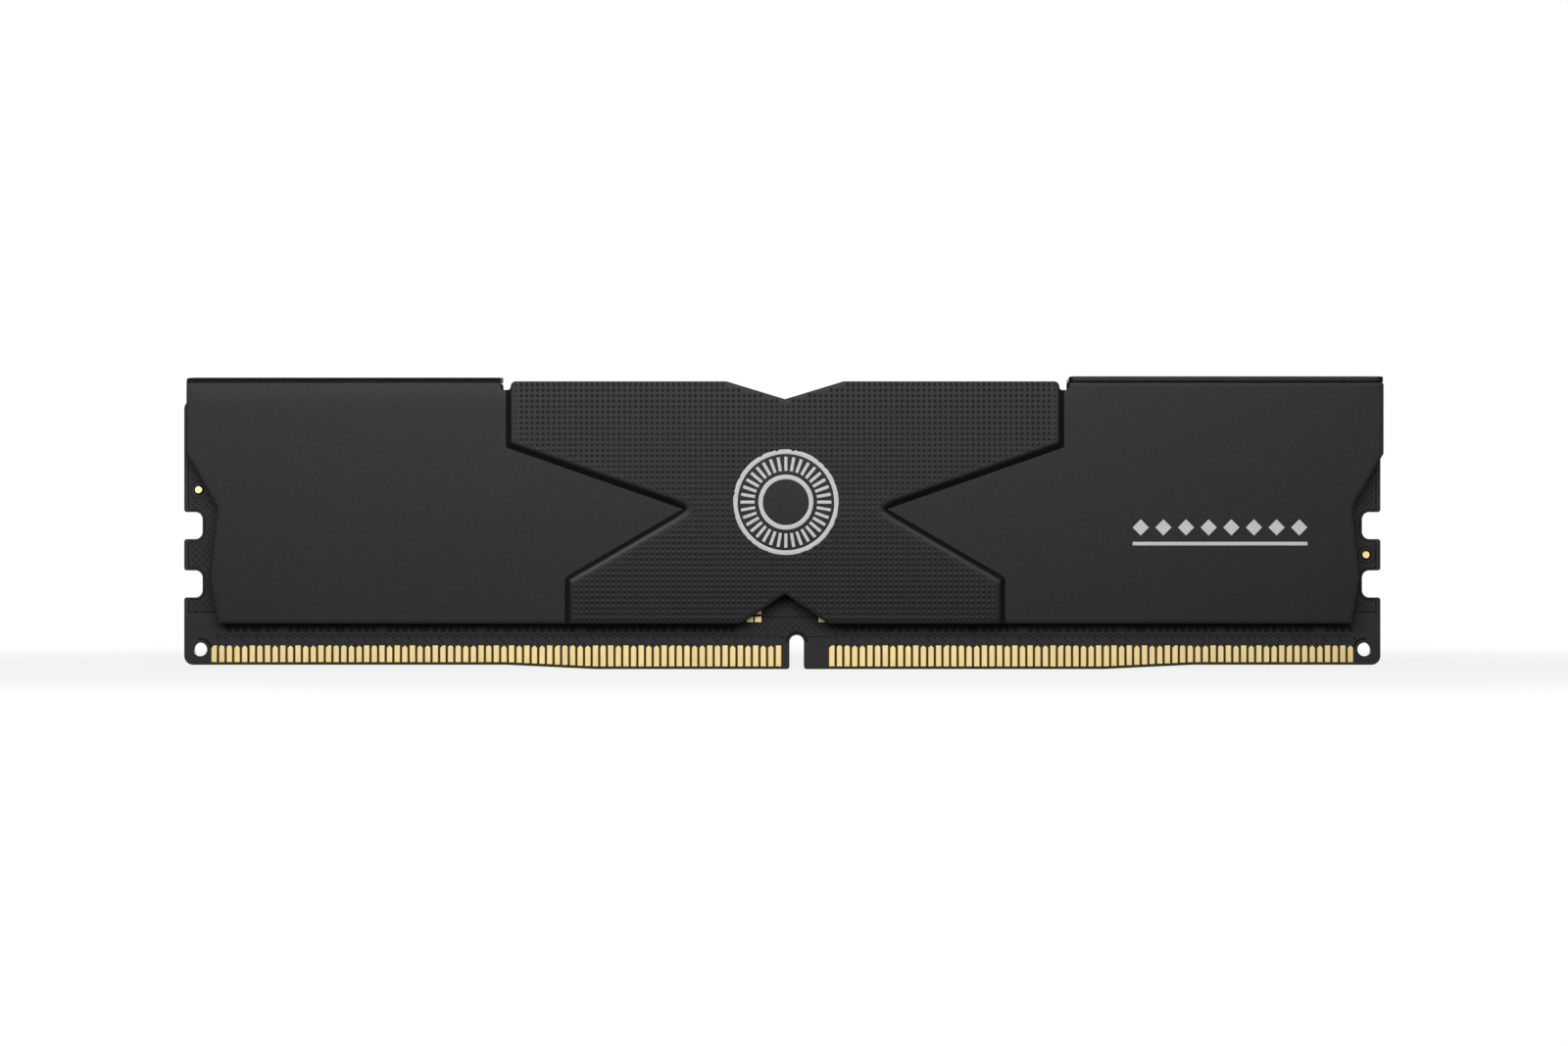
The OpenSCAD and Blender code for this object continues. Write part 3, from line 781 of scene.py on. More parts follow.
@dataclass
class SpreaderHalf:
    """One stamped half: a sheet with a raised dotted field, two smooth panels and a flange on its own left.

    It is drawn flat, with x along the half from its middle and s up the sheet and on along the flange.
    The rear half is the same stamping turned half round. Sizes are in millimetres.
    """

    side: Side
    coat: Material
    ink: Material
    # Sheet, and the flange's bend with the gentle curve that leads into it
    sheet_t: float = 0.6
    bend_r: float = 0.21
    bend_z: float = 31.61
    lead_l: float = 2.2
    lead_angle: float = math.radians(4.0)
    flange_slant: float = math.radians(2.2)
    flange_r: float = 0.7
    lip_gap: float = 0.05
    bend_samples: int = 4001
    # Outline: heights, places along the half and corner radii, with the notches' half widths and depths
    plain_top: float = 31.906
    plain_r: float = 0.3
    field_top: float = 32.006
    field_r: float = 0.59
    slot_z: float = 31.056
    slot_inner: float = 30.45
    slot_outer: float = 31.55
    slot_r: float = 0.3
    upper_notch: Pair = (6.5, 1.98)
    lower_notch: Triple = (4.84, 3.3, 2.0)
    foot_in: float = 3.5
    belly: Pair = (2.6, 10.15)
    waist: Triple = (3.45, 18.0, 2.0)
    ear_z: float = 24.0
    # Field: its rise, how much lower its upper and lower edges are, and the foot of its right wall
    field_rise: float = 0.8
    crown: float = 0.23
    heel: Pair = (24.45, 10.25)
    tip: Pair = (11.4, 17.85)
    shoulder: Pair = (31.0, 24.69)
    beside: float = 200.0
    below: float = -60.0
    above: float = 90.0
    # Walls: width of the slope and of the crest, with other values on the lower slants and at the tips
    wall: Pair = (0.52, 0.12)
    lower_wall: Pair = (0.31, 0.19)
    lower_band: Pair = (9.35, 17.85)
    band_fade: float = 0.6
    tip_wall: Pair = (0.18, 0.1)
    tip_reach: float = 0.6
    wall_blend: float = 0.06
    # Painted highlight on the lower crests, as more sheen: distance from the foot and spread, reach of the
    # tips, share on the right, where less light falls
    highlight_at: Pair = (0.7, 0.24)
    highlight_reach: float = 1.2
    right_highlight: float = 0.35
    # Cut edge: its outer radius, the band beside it, and the roll-off of the sheet's face
    edge_r: float = 0.07
    inner_share: float = 0.25
    soft_share: float = 0.3
    edge_steps: int = 6
    edge_band: float = 0.07
    roll_w: float = 0.5
    roll_d: float = 0.033
    # Mesh: spacing of points on the rim and on lines, and distances of lines from the walls and the rim
    rim_step: float = 0.07
    rim_skip: int = 9
    busy_wall: Pair = (-0.15, 0.88)
    busy_bend: float = 0.3
    line_step: float = 0.35
    line_gap: float = 0.05
    wall_steps: tuple[float, ...] = (
        0, 0.1, 0.2, 0.3, 0.36, 0.43, 0.52, 0.56, 0.6, 0.65, 0.71, 0.78, 0.88, 1.0, 1.2, 1.5)
    tip_steps: int = 13
    bend_gap: float = 0.06
    bend_before: float = 0.4
    bend_after: float = 0.25
    bend_rows: int = 9
    bend_columns: int = 25
    loose_rows: tuple[float, ...] = (0.22, 0.3, 0.4, 0.5, 0.6)
    loose_slack: float = 0.02
    weld: float = 1e-6
    # Slopes: share of the way into a triangle, and steps, at which they are taken
    slope_inset: float = 0.03
    sheet_probe: float = 1e-4
    bump_probe: float = 0.01
    # Bumps: grid, sizes, spread sideways, up and down, rings as shares of the radius, and clearances
    bump_start: Pair = (-29.85, 31.70)
    bump_pitch: float = 0.603
    bump_r: float = 0.3
    bump_h: float = 0.048
    bump_gain: float = 0.45
    bump_spread: Triple = (0.09, 0.07, 0.14)
    bump_rings: tuple[float, ...] = (0, 1, 0.68, 0.42, 0.2, 0)
    bump_sides: int = 8
    bump_lift: float = 0.001
    bump_root: float = 0.02
    bump_margin: float = 0.3
    bump_clear: float = 0.75
    bump_fade: Pair = (0.65, 0.9)
    bump_spare: float = 0.002
    # Printed marks
    mark_t: float = 0.012
    badge_middle: Pair = (0.1, 18.6)
    badge_r: float = 5.6
    badge_hub: float = 0.5
    badge_spoke: Pair = (0.62, 0.9)
    spoke_count: int = 36
    spoke_w: float = 0.34
    ring_w: float = 0.5
    ring_steps: int = 96
    mark_start: Pair = (38.6, 14.0)
    mark_length: float = 19.4
    mark_w: float = 0.45
    diamond_count: int = 8
    diamond_r: float = 0.9
    diamond_rise: float = 1.8
    # Angle of the edges that are shaded as sharp, on the sheet and on the bumps
    creases: Pair = (40.0, 50.0)
    half: float = field(init=False)
    shift: float = field(init=False)
    foot_z: float = field(init=False)
    panel_out: float = field(init=False)
    outline: Array = field(init=False)

    def __post_init__(self) -> None:
        """Takes the half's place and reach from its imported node."""
        low, high = (np.array(corner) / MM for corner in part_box(self.node))
        self.half = float(high[0] - low[0]) / 2
        self.shift = float(high[0] + low[0]) / 2
        self.foot_z = float(low[2])
        self.panel_out = float(max(abs(low[1]), abs(high[1]))) - self.field_rise
        self.outline = rounded_outline(self.corners())

    @property
    def node(self) -> str:
        """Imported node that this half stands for."""
        return f"{self.side.value}_heat_spreader"

    @property
    def face_rise(self) -> float:
        """Height of the field's face between its bumps, whose tops reach the full rise."""
        return self.field_rise - self.bump_h - self.bump_spare

    @property
    def rim_w(self) -> float:
        """Width of the two bands along the cut edge."""
        return self.edge_r + self.edge_band

    @property
    def bend_angle(self) -> float:
        """Angle through which the flange is bent."""
        return math.pi / 2 - self.flange_slant

    @property
    def bend_length(self) -> float:
        """Length of the bend along the middle of the sheet."""
        return (self.bend_r + self.sheet_t / 2) * (self.bend_angle - self.lead_angle)

    @property
    def bend_start(self) -> float:
        """Height at which the tight bend starts, lifted by what the gentle curve takes off the bend."""
        return self.bend_z + (self.bend_r + self.sheet_t / 2) * math.sin(self.lead_angle)

    @property
    def blank_top(self) -> float:
        """Upper edge of the flat blank at the flange."""
        leaf = 2 * self.panel_out - self.sheet_t - self.bend_r - self.lip_gap
        return self.bend_start + self.bend_length + leaf / math.cos(self.flange_slant)

    def corners(self) -> Array:
        """Corners of the flat blank, anticlockwise from the middle of the lower notch.

        Returns:
            Array of rows x, s and corner radius.
        """
        low_w, low_d, low_r = self.lower_notch
        up_w, up_d = self.upper_notch
        lower = [
            (low_w, self.foot_z, low_r), (self.half - self.foot_in, self.foot_z, 0),
            (self.half - self.belly[0], self.belly[1], 0), (self.half - self.waist[0], *self.waist[1:]),
            (self.half, self.ear_z, 0),
        ]
        slot = [
            (self.slot_outer, self.slot_z, self.slot_r), (self.slot_inner, self.slot_z, self.slot_r),
            (self.slot_inner, self.field_top, self.field_r), (up_w, self.field_top, 0),
        ]
        plain, leaf = ([(self.half, top, radius), (self.slot_outer, top, radius)] for top, radius in (
            (self.plain_top, self.plain_r), (self.blank_top, self.flange_r)))
        left = [(-x, s, r) for x, s, r in reversed(lower + leaf + slot)]
        notches = (0, self.foot_z + low_d, 0), (0, self.field_top - up_d, 0)
        return np.array([notches[0], *lower, *plain, *slot, notches[1], *left], float)

    def wall_path(self) -> Array:
        """Foot of the right wall from below the sheet to above it."""
        ends = (self.heel[0], self.below), (self.shoulder[0], self.above)
        return np.array([ends[0], self.heel, self.tip, self.shoulder, ends[1]], float)

    def wall_distance(self, points: Array) -> Array:
        """Distance of points from the foot of the nearest wall, positive on the field, negative on a panel.

        The distances to the wall's straight stretches are merged by a soft minimum,
        -k log(sum(exp(-d / k))), which rounds the edges where two stretches meet.

        Args:
            points: array of shape (n, 2) in the flat blank.

        Returns:
            Array of shape (n,).
        """
        unfolded = np.stack([np.abs(points[:, 0]), points[:, 1]], axis=1)
        path = self.wall_path()
        away = segment_distances(unfolded, path[:-1], path[1:])
        nearest = away.min(axis=1, keepdims=True)
        merged = np.log(np.exp((nearest - away) / self.wall_blend).sum(axis=1))
        panel = np.array([(self.beside, self.below), (self.beside, self.above), *path[::-1]])
        on_field = nearest[:, 0] - self.wall_blend * merged
        return np.where(is_inside(unfolded, panel), -nearest[:, 0], on_field)

    def edge_distance(self, points: Array) -> Array:
        """Distance of points from the cut edge of the flat blank."""
        sides = zip(self.outline, np.roll(self.outline, -1, axis=0))
        return reduce(np.minimum, (segment_distances(points, a[None], b[None])[:, 0] for a, b in sides))

    def on_lower_wall(self, points: Array) -> Array:
        """Share by which points are at the height of the lower slants, eased in as t t (3 - 2 t).

        Args:
            points: array of shape (n, 2) in the flat blank.

        Returns:
            Array of shape (n,).
        """
        start, end = self.lower_band
        share = np.clip(np.minimum(points[:, 1] - start, end - points[:, 1]) / self.band_fade, 0, 1)
        return share * share * (3 - 2 * share)

    def near_tip(self, points: Array, reach: float) -> Array:
        """Share by which points are near an arrow's tip: a bell exp(-(d / reach)^2) of their distance."""
        from_tip = np.hypot(np.abs(points[:, 0]) - self.tip[0], points[:, 1] - self.tip[1])
        return np.exp(-(from_tip / reach) ** 2)

    def polish(self, points: Array) -> Array:
        """Share of painted highlight, as more sheen: a bell exp(-((d - a) / b)^2) across the lower crests.

        Args:
            points: array of shape (n, 2) in the flat blank.

        Returns:
            Array of shape (n,).
        """
        middle, spread = self.highlight_at
        bell = np.exp(-((self.wall_distance(points) - middle) / spread) ** 2)
        bell *= np.where(points[:, 0] > 0, self.right_highlight, 1)
        return bell * self.on_lower_wall(points) * (1 - self.near_tip(points, self.highlight_reach))

    def upness(self, points: Array) -> Array:
        """Place of points up the field, from -1 at its lower edge to 1 at its upper one."""
        return (2 * points[:, 1] - self.field_top - self.foot_z) / (self.field_top - self.foot_z)

    def height(self, points: Array) -> Array:
        """Height of the sheet over its panels.

        The wall rises by k d at distance d from its foot, up to d = w. Past that its slope dies away as
        k exp(-(d - w) / c), so that it rises by k c (1 - exp(-(d - w) / c)) more. The field is crowned: its
        rise is less by the share p u^2, where u runs from -1 at the lower edge to 1 at the upper one. Along
        the cut edge the sheet rolls off by r (1 - e / b)^2 at distance e from the edge.

        Args:
            points: array of shape (n, 2) in the flat blank.

        Returns:
            Array of shape (n,).
        """
        size = np.array(self.wall)
        for share, other in ((self.on_lower_wall(points), self.lower_wall),
                             (self.near_tip(points, self.tip_reach), self.tip_wall)):
            size = size + (np.array(other) - size) * share[:, None]
        wall_w, crest_w = size.T
        away = np.clip(self.wall_distance(points), 0, None)
        past = np.clip(away - wall_w, 0, None)
        wall = np.minimum(away, wall_w) + crest_w * (1 - np.exp(-past / crest_w))
        slope = (self.face_rise - self.crown * self.upness(points) ** 2) / (wall_w + crest_w)
        roll = np.clip(1 - self.edge_distance(points) / self.roll_w, 0, 1)
        return slope * wall - self.roll_d * roll ** 2

    def folded(self, points: Array, out: Array) -> Array:
        """Folds points of the flat blank into place on the module.

        The flange's middle line is a path whose angle grows slowly over a gentle lead-in, fast over the tight
        bend, and stays as it is along the leaf. Its place is the running sum of its direction, and each point
        stands on it at right angles. Everywhere else the sheet stays flat.

        Args:
            points: array of shape (n, 2) in the flat blank.
            out: height of each point over the outer face of the panels.

        Returns:
            Array of shape (n, 3) in the module's frame.
        """
        x, s = points.T
        start, middle = self.bend_start - self.lead_l, self.panel_out - self.sheet_t / 2
        run = np.linspace(start, self.blank_top, self.bend_samples)
        turn = np.interp(run, [start, self.bend_start, self.bend_start + self.bend_length],
                         [0, self.lead_angle, self.bend_angle])
        half_turn = (turn[1:] + turn[:-1]) / 2
        inward, upward = (np.concatenate([[0], np.cumsum(part)]) * (run[1] - run[0])
                          for part in (np.sin(half_turn), np.cos(half_turn)))
        angle = np.interp(s, run, turn)
        rise = out + self.sheet_t / 2
        bent = (x < -self.slot_inner) & (s > start)
        leaf = middle - np.interp(s, run, inward) + rise * np.cos(angle)
        depth = np.where(bent, leaf, self.panel_out + out)
        z = np.where(bent, start + np.interp(s, run, upward) + rise * np.sin(angle), s)
        sign = self.side.sign
        return np.stack([self.shift - sign * x, sign * depth, z], axis=1)

    def wall_lines(self) -> list[Array]:
        """Lines along the right wall: its path moved towards the field by several distances.

        Corners that open towards the field are mitred, and the line turns about the arrow's tip in an arc.

        Returns:
            Arrays of points.
        """
        path = self.wall_path()
        left = sideways(path, closed=False)
        ahead = np.diff(path[1:4], axis=0)
        fan = arc(*np.unwrap(np.arctan2(ahead[:, 0], -ahead[:, 1])), self.tip_steps)
        lines = []
        for away in self.wall_steps:
            moved = path + left * away
            tip = path[2] + fan * away if away else path[2:3]
            corner = np.concatenate([moved[:2], tip, moved[3:]])
            run = np.concatenate([[0], np.cumsum(np.linalg.norm(np.diff(corner, axis=0), axis=1))])
            spots = np.union1d(np.arange(0, run[-1], self.line_step), run)
            lines.append(np.stack([np.interp(spots, run, axis) for axis in corner.T], axis=1))
        return lines

    def bend_lines(self) -> list[Array]:
        """Lines along the bend, from just below it to just past it.

        Returns:
            Arrays of points.
        """
        margin = self.rim_w + self.bend_gap
        x = np.linspace(-self.half + margin, -self.slot_outer - margin, self.bend_columns)
        steps = self.bend_start + np.concatenate([
            [-self.lead_l - self.bend_before], np.linspace(-self.lead_l, 0, self.bend_rows)[:-1],
            np.linspace(0, self.bend_length, self.bend_rows), [self.bend_length + self.bend_after]])
        return [np.stack([x, np.full_like(x, s)], axis=1) for s in steps]

    def busy(self, points: Array) -> Array:
        """Whether points need close neighbours: beside a wall or in the bend.

        Args:
            points: array of shape (n, 2) in the flat blank.

        Returns:
            Array of n truth values.
        """
        away = self.wall_distance(points)
        past = points[:, 1] - self.bend_start
        in_bend = (past > -self.busy_bend) & (past < self.bend_length + self.busy_bend)
        low, high = self.busy_wall
        return ((away > low) & (away < high)) | ((points[:, 0] < -self.slot_inner) & in_bend)

    def blank(self) -> tuple[Array, Array, Array]:
        """The flat blank, split into triangles between lines along its walls, its bend and its edge.

        Returns:
            The blank's rim; its points, which start with the rim moved inwards; and its triangles.
        """
        rim = resampled(self.outline, self.rim_step, self.busy, self.rim_skip)
        inward = sideways(rim, closed=True)
        loops = [rim + away * inward for away in (self.edge_r, self.rim_w)]
        loose = []
        for away in self.loose_rows:
            spots = rim + away * inward
            loose.append(spots[self.edge_distance(spots) > away - self.loose_slack])
        lines = self.bend_lines()
        for line in self.wall_lines():
            clear = self.edge_distance(line) > self.rim_w + self.line_gap
            kept = line[clear & is_inside(line, self.outline)]
            lines += [kept, kept * MIRROR]
        flat = np.concatenate([*loops, *lines, *loose])
        edges, start = [], 0
        for number, chain in enumerate([*loops, *lines]):
            index = start + np.arange(len(chain))
            pairs = np.stack([index, np.roll(index, -1)], axis=1)
            edges += (pairs if number < len(loops) else pairs[:-1]).tolist()
            start += len(chain)
        result = delaunay_2d_cdt([Vector(spot) for spot in flat.tolist()], edges, [], 1, self.weld, True)
        source = np.array([numbers[0] for numbers in result[3]])
        triangles = source[np.array(result[2])]
        return rim, flat, triangles[is_inside(flat[triangles].mean(axis=1), loops[0])]

    def corner_normals(self, flat: Array, triangles: Array) -> Array:
        """Normals of the outer face at the corners of its triangles, from the slopes of its formula.

        The slopes are taken a little inside each triangle, so that the foot of a wall stays a sharp line and
        the flat panels stay flat.

        Args:
            flat: points of the flat blank, of shape (n, 2).
            triangles: point numbers, of shape (m, 3).

        Returns:
            Array of shape (3 m, 3).
        """
        corner = flat[triangles]
        inside = self.slope_inset * (corner.mean(axis=1, keepdims=True) - corner)
        spots, step = (corner + inside).reshape(-1, 2), self.sheet_probe
        here, right, above = (self.folded(spots + move, self.height(spots + move))
                              for move in ((0, 0), (step, 0), (0, step)))
        normal = np.cross(right - here, above - here)
        return normal / np.linalg.norm(normal, axis=1, keepdims=True)

    def sheet(self) -> Shape:
        """The stamped sheet.

        The outer face takes the height of the field and its walls, the inner face lies a sheet's thickness
        below it, and a profile with a rounded outer edge, carried along the outline, joins the two.

        Returns:
            The closed shape in the module's frame.
        """
        rim, flat, triangles = self.blank()
        inner_r = self.edge_r * self.inner_share
        soft = self.soft_share * inner_r
        profile = np.concatenate([
            self.edge_r * (1 - arc(0, math.pi / 2, self.edge_steps)[1:, ::-1]),
            [(0, self.sheet_t - inner_r), (soft, self.sheet_t - soft), (inner_r, self.sheet_t)],
        ])
        inward = sideways(rim, closed=True)
        bands = [rim + away * inward for away, _ in profile]
        levels = [self.height(band) - depth for band, (_, depth) in zip(bands, profile)]
        rise = self.height(flat)
        points = np.concatenate([
            self.folded(flat, rise), self.folded(flat, rise - self.sheet_t),
            self.folded(np.concatenate(bands), np.concatenate(levels)),
        ])
        count, length = len(flat), len(rim)
        between = 2 * count + np.arange(len(profile) * length).reshape(-1, length)
        order = np.concatenate([[np.arange(length)], between, [count + np.arange(length)]])
        strip = order.reshape(-1)[grid_faces(len(order), length, columns_close=True)]
        return Shape(points, [triangles, triangles[:, ::-1] + count, strip],
                     self.corner_normals(flat, triangles), self.polish(flat))

    def bump_places(self) -> Array:
        """Square grid of places on the field that are clear of its crest, its edges and the badge.

        Returns:
            Array of rows x and s.
        """
        x = np.arange(self.bump_start[0], -self.bump_start[0] + self.bump_pitch / 2, self.bump_pitch)
        s = np.arange(self.bump_start[1], self.foot_z, -self.bump_pitch)
        spots = np.stack(np.meshgrid(x, s), axis=-1).reshape(-1, 2)
        from_badge = np.linalg.norm(spots - self.badge_middle, axis=1) - self.badge_r
        clear = np.minimum(self.edge_distance(spots), from_badge) > self.bump_margin
        return spots[is_inside(spots, self.outline) & clear & (self.wall_distance(spots) > self.bump_clear)]

    def bumps(self) -> Shape:
        """Small bumps on the field, lower beside its walls and taller in its upper half.

        Each is a bell h exp(-x^2 / (2 a^2) - s^2 / (2 b^2)) on the slope of the field under it, with a
        smaller b on its upper side than on its lower one. Its normals follow the slope of that formula.

        Returns:
            The shape in the module's frame.
        """
        spots = self.bump_places()
        level = np.full(len(self.bump_rings), self.bump_lift)
        level[0] = -self.bump_root
        disc = turned(np.stack([np.array(self.bump_rings) * self.bump_r, level], axis=1), self.bump_sides)
        copies = disc.repeated(spots)
        flat, step = copies.points[:, :2], self.bump_probe
        here, right, above = (self.height(flat + move) for move in ((0, 0), (step, 0), (0, step)))
        tilt = np.stack([right - here, above - here], axis=1) / step
        start, length = self.bump_fade
        tall = self.bump_h * np.clip((self.wall_distance(spots) - start) / length, 0, 1)
        tall *= 1 + self.bump_gain * np.clip(self.upness(spots), 0, None)
        tall, middle = (np.repeat(value, len(disc.points), axis=0) for value in (tall, spots))
        across = flat - middle
        side_b, upper_b, lower_b = self.bump_spread
        upright = np.where(across[:, 1] > 0, upper_b, lower_b)
        spread = np.stack([np.full_like(upright, side_b), upright], axis=1)
        bell = tall * np.exp(-(across ** 2 / (2 * spread ** 2)).sum(axis=1))
        ground = here + np.where(copies.points[:, 2] > 0, bell, 0)
        whole = copies.mapped(lambda p: self.folded(p[:, :2], p[:, 2] + ground))
        fall = bell[:, None] * across / spread ** 2 - tilt
        sign = self.side.sign
        normal = np.stack([-sign * fall[:, 0], np.full(len(fall), sign), fall[:, 1]], axis=1)
        normal /= np.linalg.norm(normal, axis=1, keepdims=True)
        whole.normals = np.concatenate([normal[rows].reshape(-1, 3) for rows in whole.faces])
        # The painted highlight runs on over the bumps
        whole.polish = self.polish(flat)
        return whole

    def printed(self, drawing: Shape, place: Pair) -> Shape:
        """Lays a drawing on the sheet.

        Args:
            drawing: flat shape with its height as third coordinate.
            place: where its origin comes to lie in the flat blank.

        Returns:
            The shape in the module's frame.
        """
        def laid(points: Array) -> Array:
            """Points of the drawing on the sheet."""
            flat = points[:, :2] + place
            return self.folded(flat, points[:, 2] + self.height(flat))

        return drawing.mapped(laid)

    def badge(self) -> Shape:
        """Plain dial of thin printed spokes between two rings, in the middle of the field.

        Returns:
            The shape in the module's frame.
        """
        spokes = circle(self.spoke_count)[:, None] * np.array(self.badge_spoke)[:, None] * self.badge_r
        rings = [circle(self.ring_steps) * radius for radius in (self.badge_r * self.badge_hub, self.badge_r)]
        drawn = [ribbon(spoke, self.spoke_w, self.mark_t) for spoke in spokes]
        drawn += [ribbon(ring, self.ring_w, self.mark_t, closed=True) for ring in rings]
        return self.printed(Shape.joined(drawn), self.badge_middle)

    def trim_mark(self) -> Shape:
        """Printed row of small diamonds over a thin line, on the right panel.

        Returns:
            The shape in the module's frame.
        """
        line = np.array([(0, 0), (self.mark_length, 0)], float)
        x = np.linspace(self.diamond_r, self.mark_length - self.diamond_r, self.diamond_count)
        places = np.stack([x, np.full_like(x, self.diamond_rise)], axis=1)
        diamonds = plate(self.diamond_r, self.mark_t, 4).repeated(places)
        drawn = Shape.joined([ribbon(line, self.mark_w, self.mark_t), diamonds])
        return self.printed(drawn, self.mark_start)

    def build(self) -> None:
        """Adds the half's pieces."""
        name = self.side.value
        add_piece(f"{name}_spreader_sheet", self.sheet(), self.coat, self.creases[0], self.node)
        add_piece(f"{name}_field_bumps", self.bumps(), self.coat, self.creases[1])
        add_piece(f"{name}_badge", self.badge(), self.ink)
        add_piece(f"{name}_trim_mark", self.trim_mark(), self.ink)


# Board


@dataclass
class BoardFace:
    """Copper pattern that shows through the mask on one face of the board: tracks, plated holes and borders.

    It is drawn with x along the contact edge, z up from it and the height over the face, in millimetres.
    """

    side: Side
    # Darker mask of the tracks and holes: partly their own tone, partly painted shade in grooves and pits
    sunken_shaded: Material
    clearance: Material
    # Contacts, and the key between them
    pitch: float = 0.85
    first: float = -63.325
    left_count: int = 75
    right_first: int = 81
    right_count: int = 69
    key_x: float = 1.6
    # Tracks: the wavy edge of the copper, the short lines that fall from it, and the lines beside the key
    track_w: float = 0.1
    track_h: float = 0.012
    wave_z: float = 3.62
    wave_rise: float = 0.23
    wave_steps: int = 12
    wave_past: Pair = (0.01, 0.1)
    fall_z: Pair = (3.46, 3.02)
    fall_x: float = 0.4
    fall_clear: float = 3.0
    fall_flipped: float = 9.0
    key_half: float = 0.9
    key_line: Triple = (-3.87, 2.37, 5.8)
    key_arc: Pair = (1.1, 3.0)
    key_arc_w: float = 0.24
    key_steps: int = 25
    # Border of the hatch at the right end: lower start, upper end, inner and outer edge, notches and radii
    border_x: tuple[float, float, float, float] = (62.6, 63.9, 64.375, 66.17)
    border_z: Pair = (6.36, 28.8)
    border_notches: tuple[Pair, ...] = ((7.75, 11.25), (14.25, 17.75))
    border_r: Pair = (0.3, 0.9)
    border_w: float = 0.12
    # Corner hole with the arc about it, and fiducials with the ring about them
    hole: Pair = (64.875, 2.2)
    hole_arc_r: float = 1.2
    hole_arc: Pair = (-0.1, math.pi / 2 + 0.2)
    hole_arc_w: float = 0.22
    hole_steps: int = 16
    fiducials: tuple[Pair, ...] = ((-64.98, 19.97), (65.13, 12.7))
    fiducial_ring: float = 0.95
    ring_steps: int = 48
    # Plated holes: heights of the three rows, and the cycles in which contacts have a moved or no hole
    row_z: Triple = (4.40, 3.52, 2.75)
    pair_cycle: tuple[int, int, int] = (11, 5, 6)
    pair_shift: float = 0.13
    bare_cycle: tuple[int, int] = (13, 9)
    bare_start: int = 2
    bare_by_key: float = 5.75
    tip_cycle: tuple[int, int, int] = (7, 2, 3)
    # Plates: radius, height and number of sides
    clearance_plate: tuple[float, float, int] = (0.33, 0.008, 14)
    row_plates: tuple[tuple[float, float, int], ...] = (
        (0.11, 0.016, 12), (0.11, 0.014, 12), (0.09, 0.014, 12))
    fiducial_plate: tuple[float, float, int] = (0.58, 0.008, 24)
    face: float = field(init=False)

    def __post_init__(self) -> None:
        """Takes the depth of the board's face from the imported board."""
        low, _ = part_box("circuit_board")
        self.face = -low[1] / MM

    def placed(self, shape: Shape) -> Shape:
        """Moves a drawing onto this face of the board."""
        sign = self.side.sign
        return shape.mapped(lambda p: np.stack([p[:, 0], sign * (self.face + p[:, 2]), p[:, 1]], axis=1))

    def contact_middles(self) -> Array:
        """Middles of all contacts along the edge."""
        index = np.concatenate([np.arange(self.left_count), self.right_first + np.arange(self.right_count)])
        return self.first + self.pitch * index

    def hole_rows(self) -> list[Array]:
        """Three rows of plated holes: over the contacts, between them, and between their tips.

        Returns:
            Arrays of rows x and z.
        """
        middles = self.contact_middles()
        index = np.arange(len(middles))
        cycle, left, right = self.pair_cycle
        order = index % cycle
        moved = self.pair_shift * ((order == left).astype(int) - (order == right))
        between = middles + self.pitch / 2
        rows = [np.stack([x, np.full_like(x, z)], axis=1)
                for x, z in zip((middles + moved, between, between), self.row_z)]
        cycle, bare = self.bare_cycle
        from_key = np.abs(middles - self.key_x + self.pitch)
        drilled = (index >= self.bare_start) & (index % cycle != bare) & (from_key > self.bare_by_key)
        cycle, *bare_tips = self.tip_cycle
        return [rows[0][drilled], rows[1], rows[2][~np.isin(index % cycle, bare_tips)]]

    def wave(self, start: float, end: float) -> Array:
        """Edge of the copper above the contacts, which bows up by |sin(pi (x - a) / p)| over the holes.

        Args:
            start: place along the board where it starts.
            end: place along the board where it ends.

        Returns:
            Array of rows x and z.
        """
        x = np.arange(start, end, self.pitch / self.wave_steps)
        bow = np.abs(np.sin(math.pi * (x - self.first) / self.pitch))
        return np.stack([x, self.wave_z + self.wave_rise * bow], axis=1)

    def falls(self) -> Array:
        """Short slanting tracks under every second bow of the wave, turned the other way left of the key.

        Returns:
            Array of shape (tracks, 2, 2).
        """
        x = self.contact_middles()[1::2]
        x = x[np.abs(x - self.key_x) > self.fall_clear]
        flip = np.where((x > self.key_x - self.fall_flipped) & (x < self.key_x), -1, 1)
        reach = self.pitch / 2 + np.array([0, self.fall_x])
        ends = x[:, None] + flip[:, None] * reach
        return np.stack([ends, np.broadcast_to(self.fall_z, ends.shape)], axis=-1)

    def border(self) -> Array:
        """Border of the hatched copper at the right end, kept clear of the latch notches.

        Returns:
            Array of rows x and z.
        """
        start, end, inner, outer = self.border_x
        low, high = self.border_z
        outer_r, inner_r = self.border_r
        corners = [(start, low, 0), (outer, low, 0)]
        for bottom, top in self.border_notches:
            corners += [(outer, bottom, outer_r), (inner, bottom, inner_r)]
            corners += [(inner, top, inner_r), (outer, top, outer_r)]
        corners += [(outer, high, 0), (end, high, 0)]
        return rounded_outline(np.array(corners))

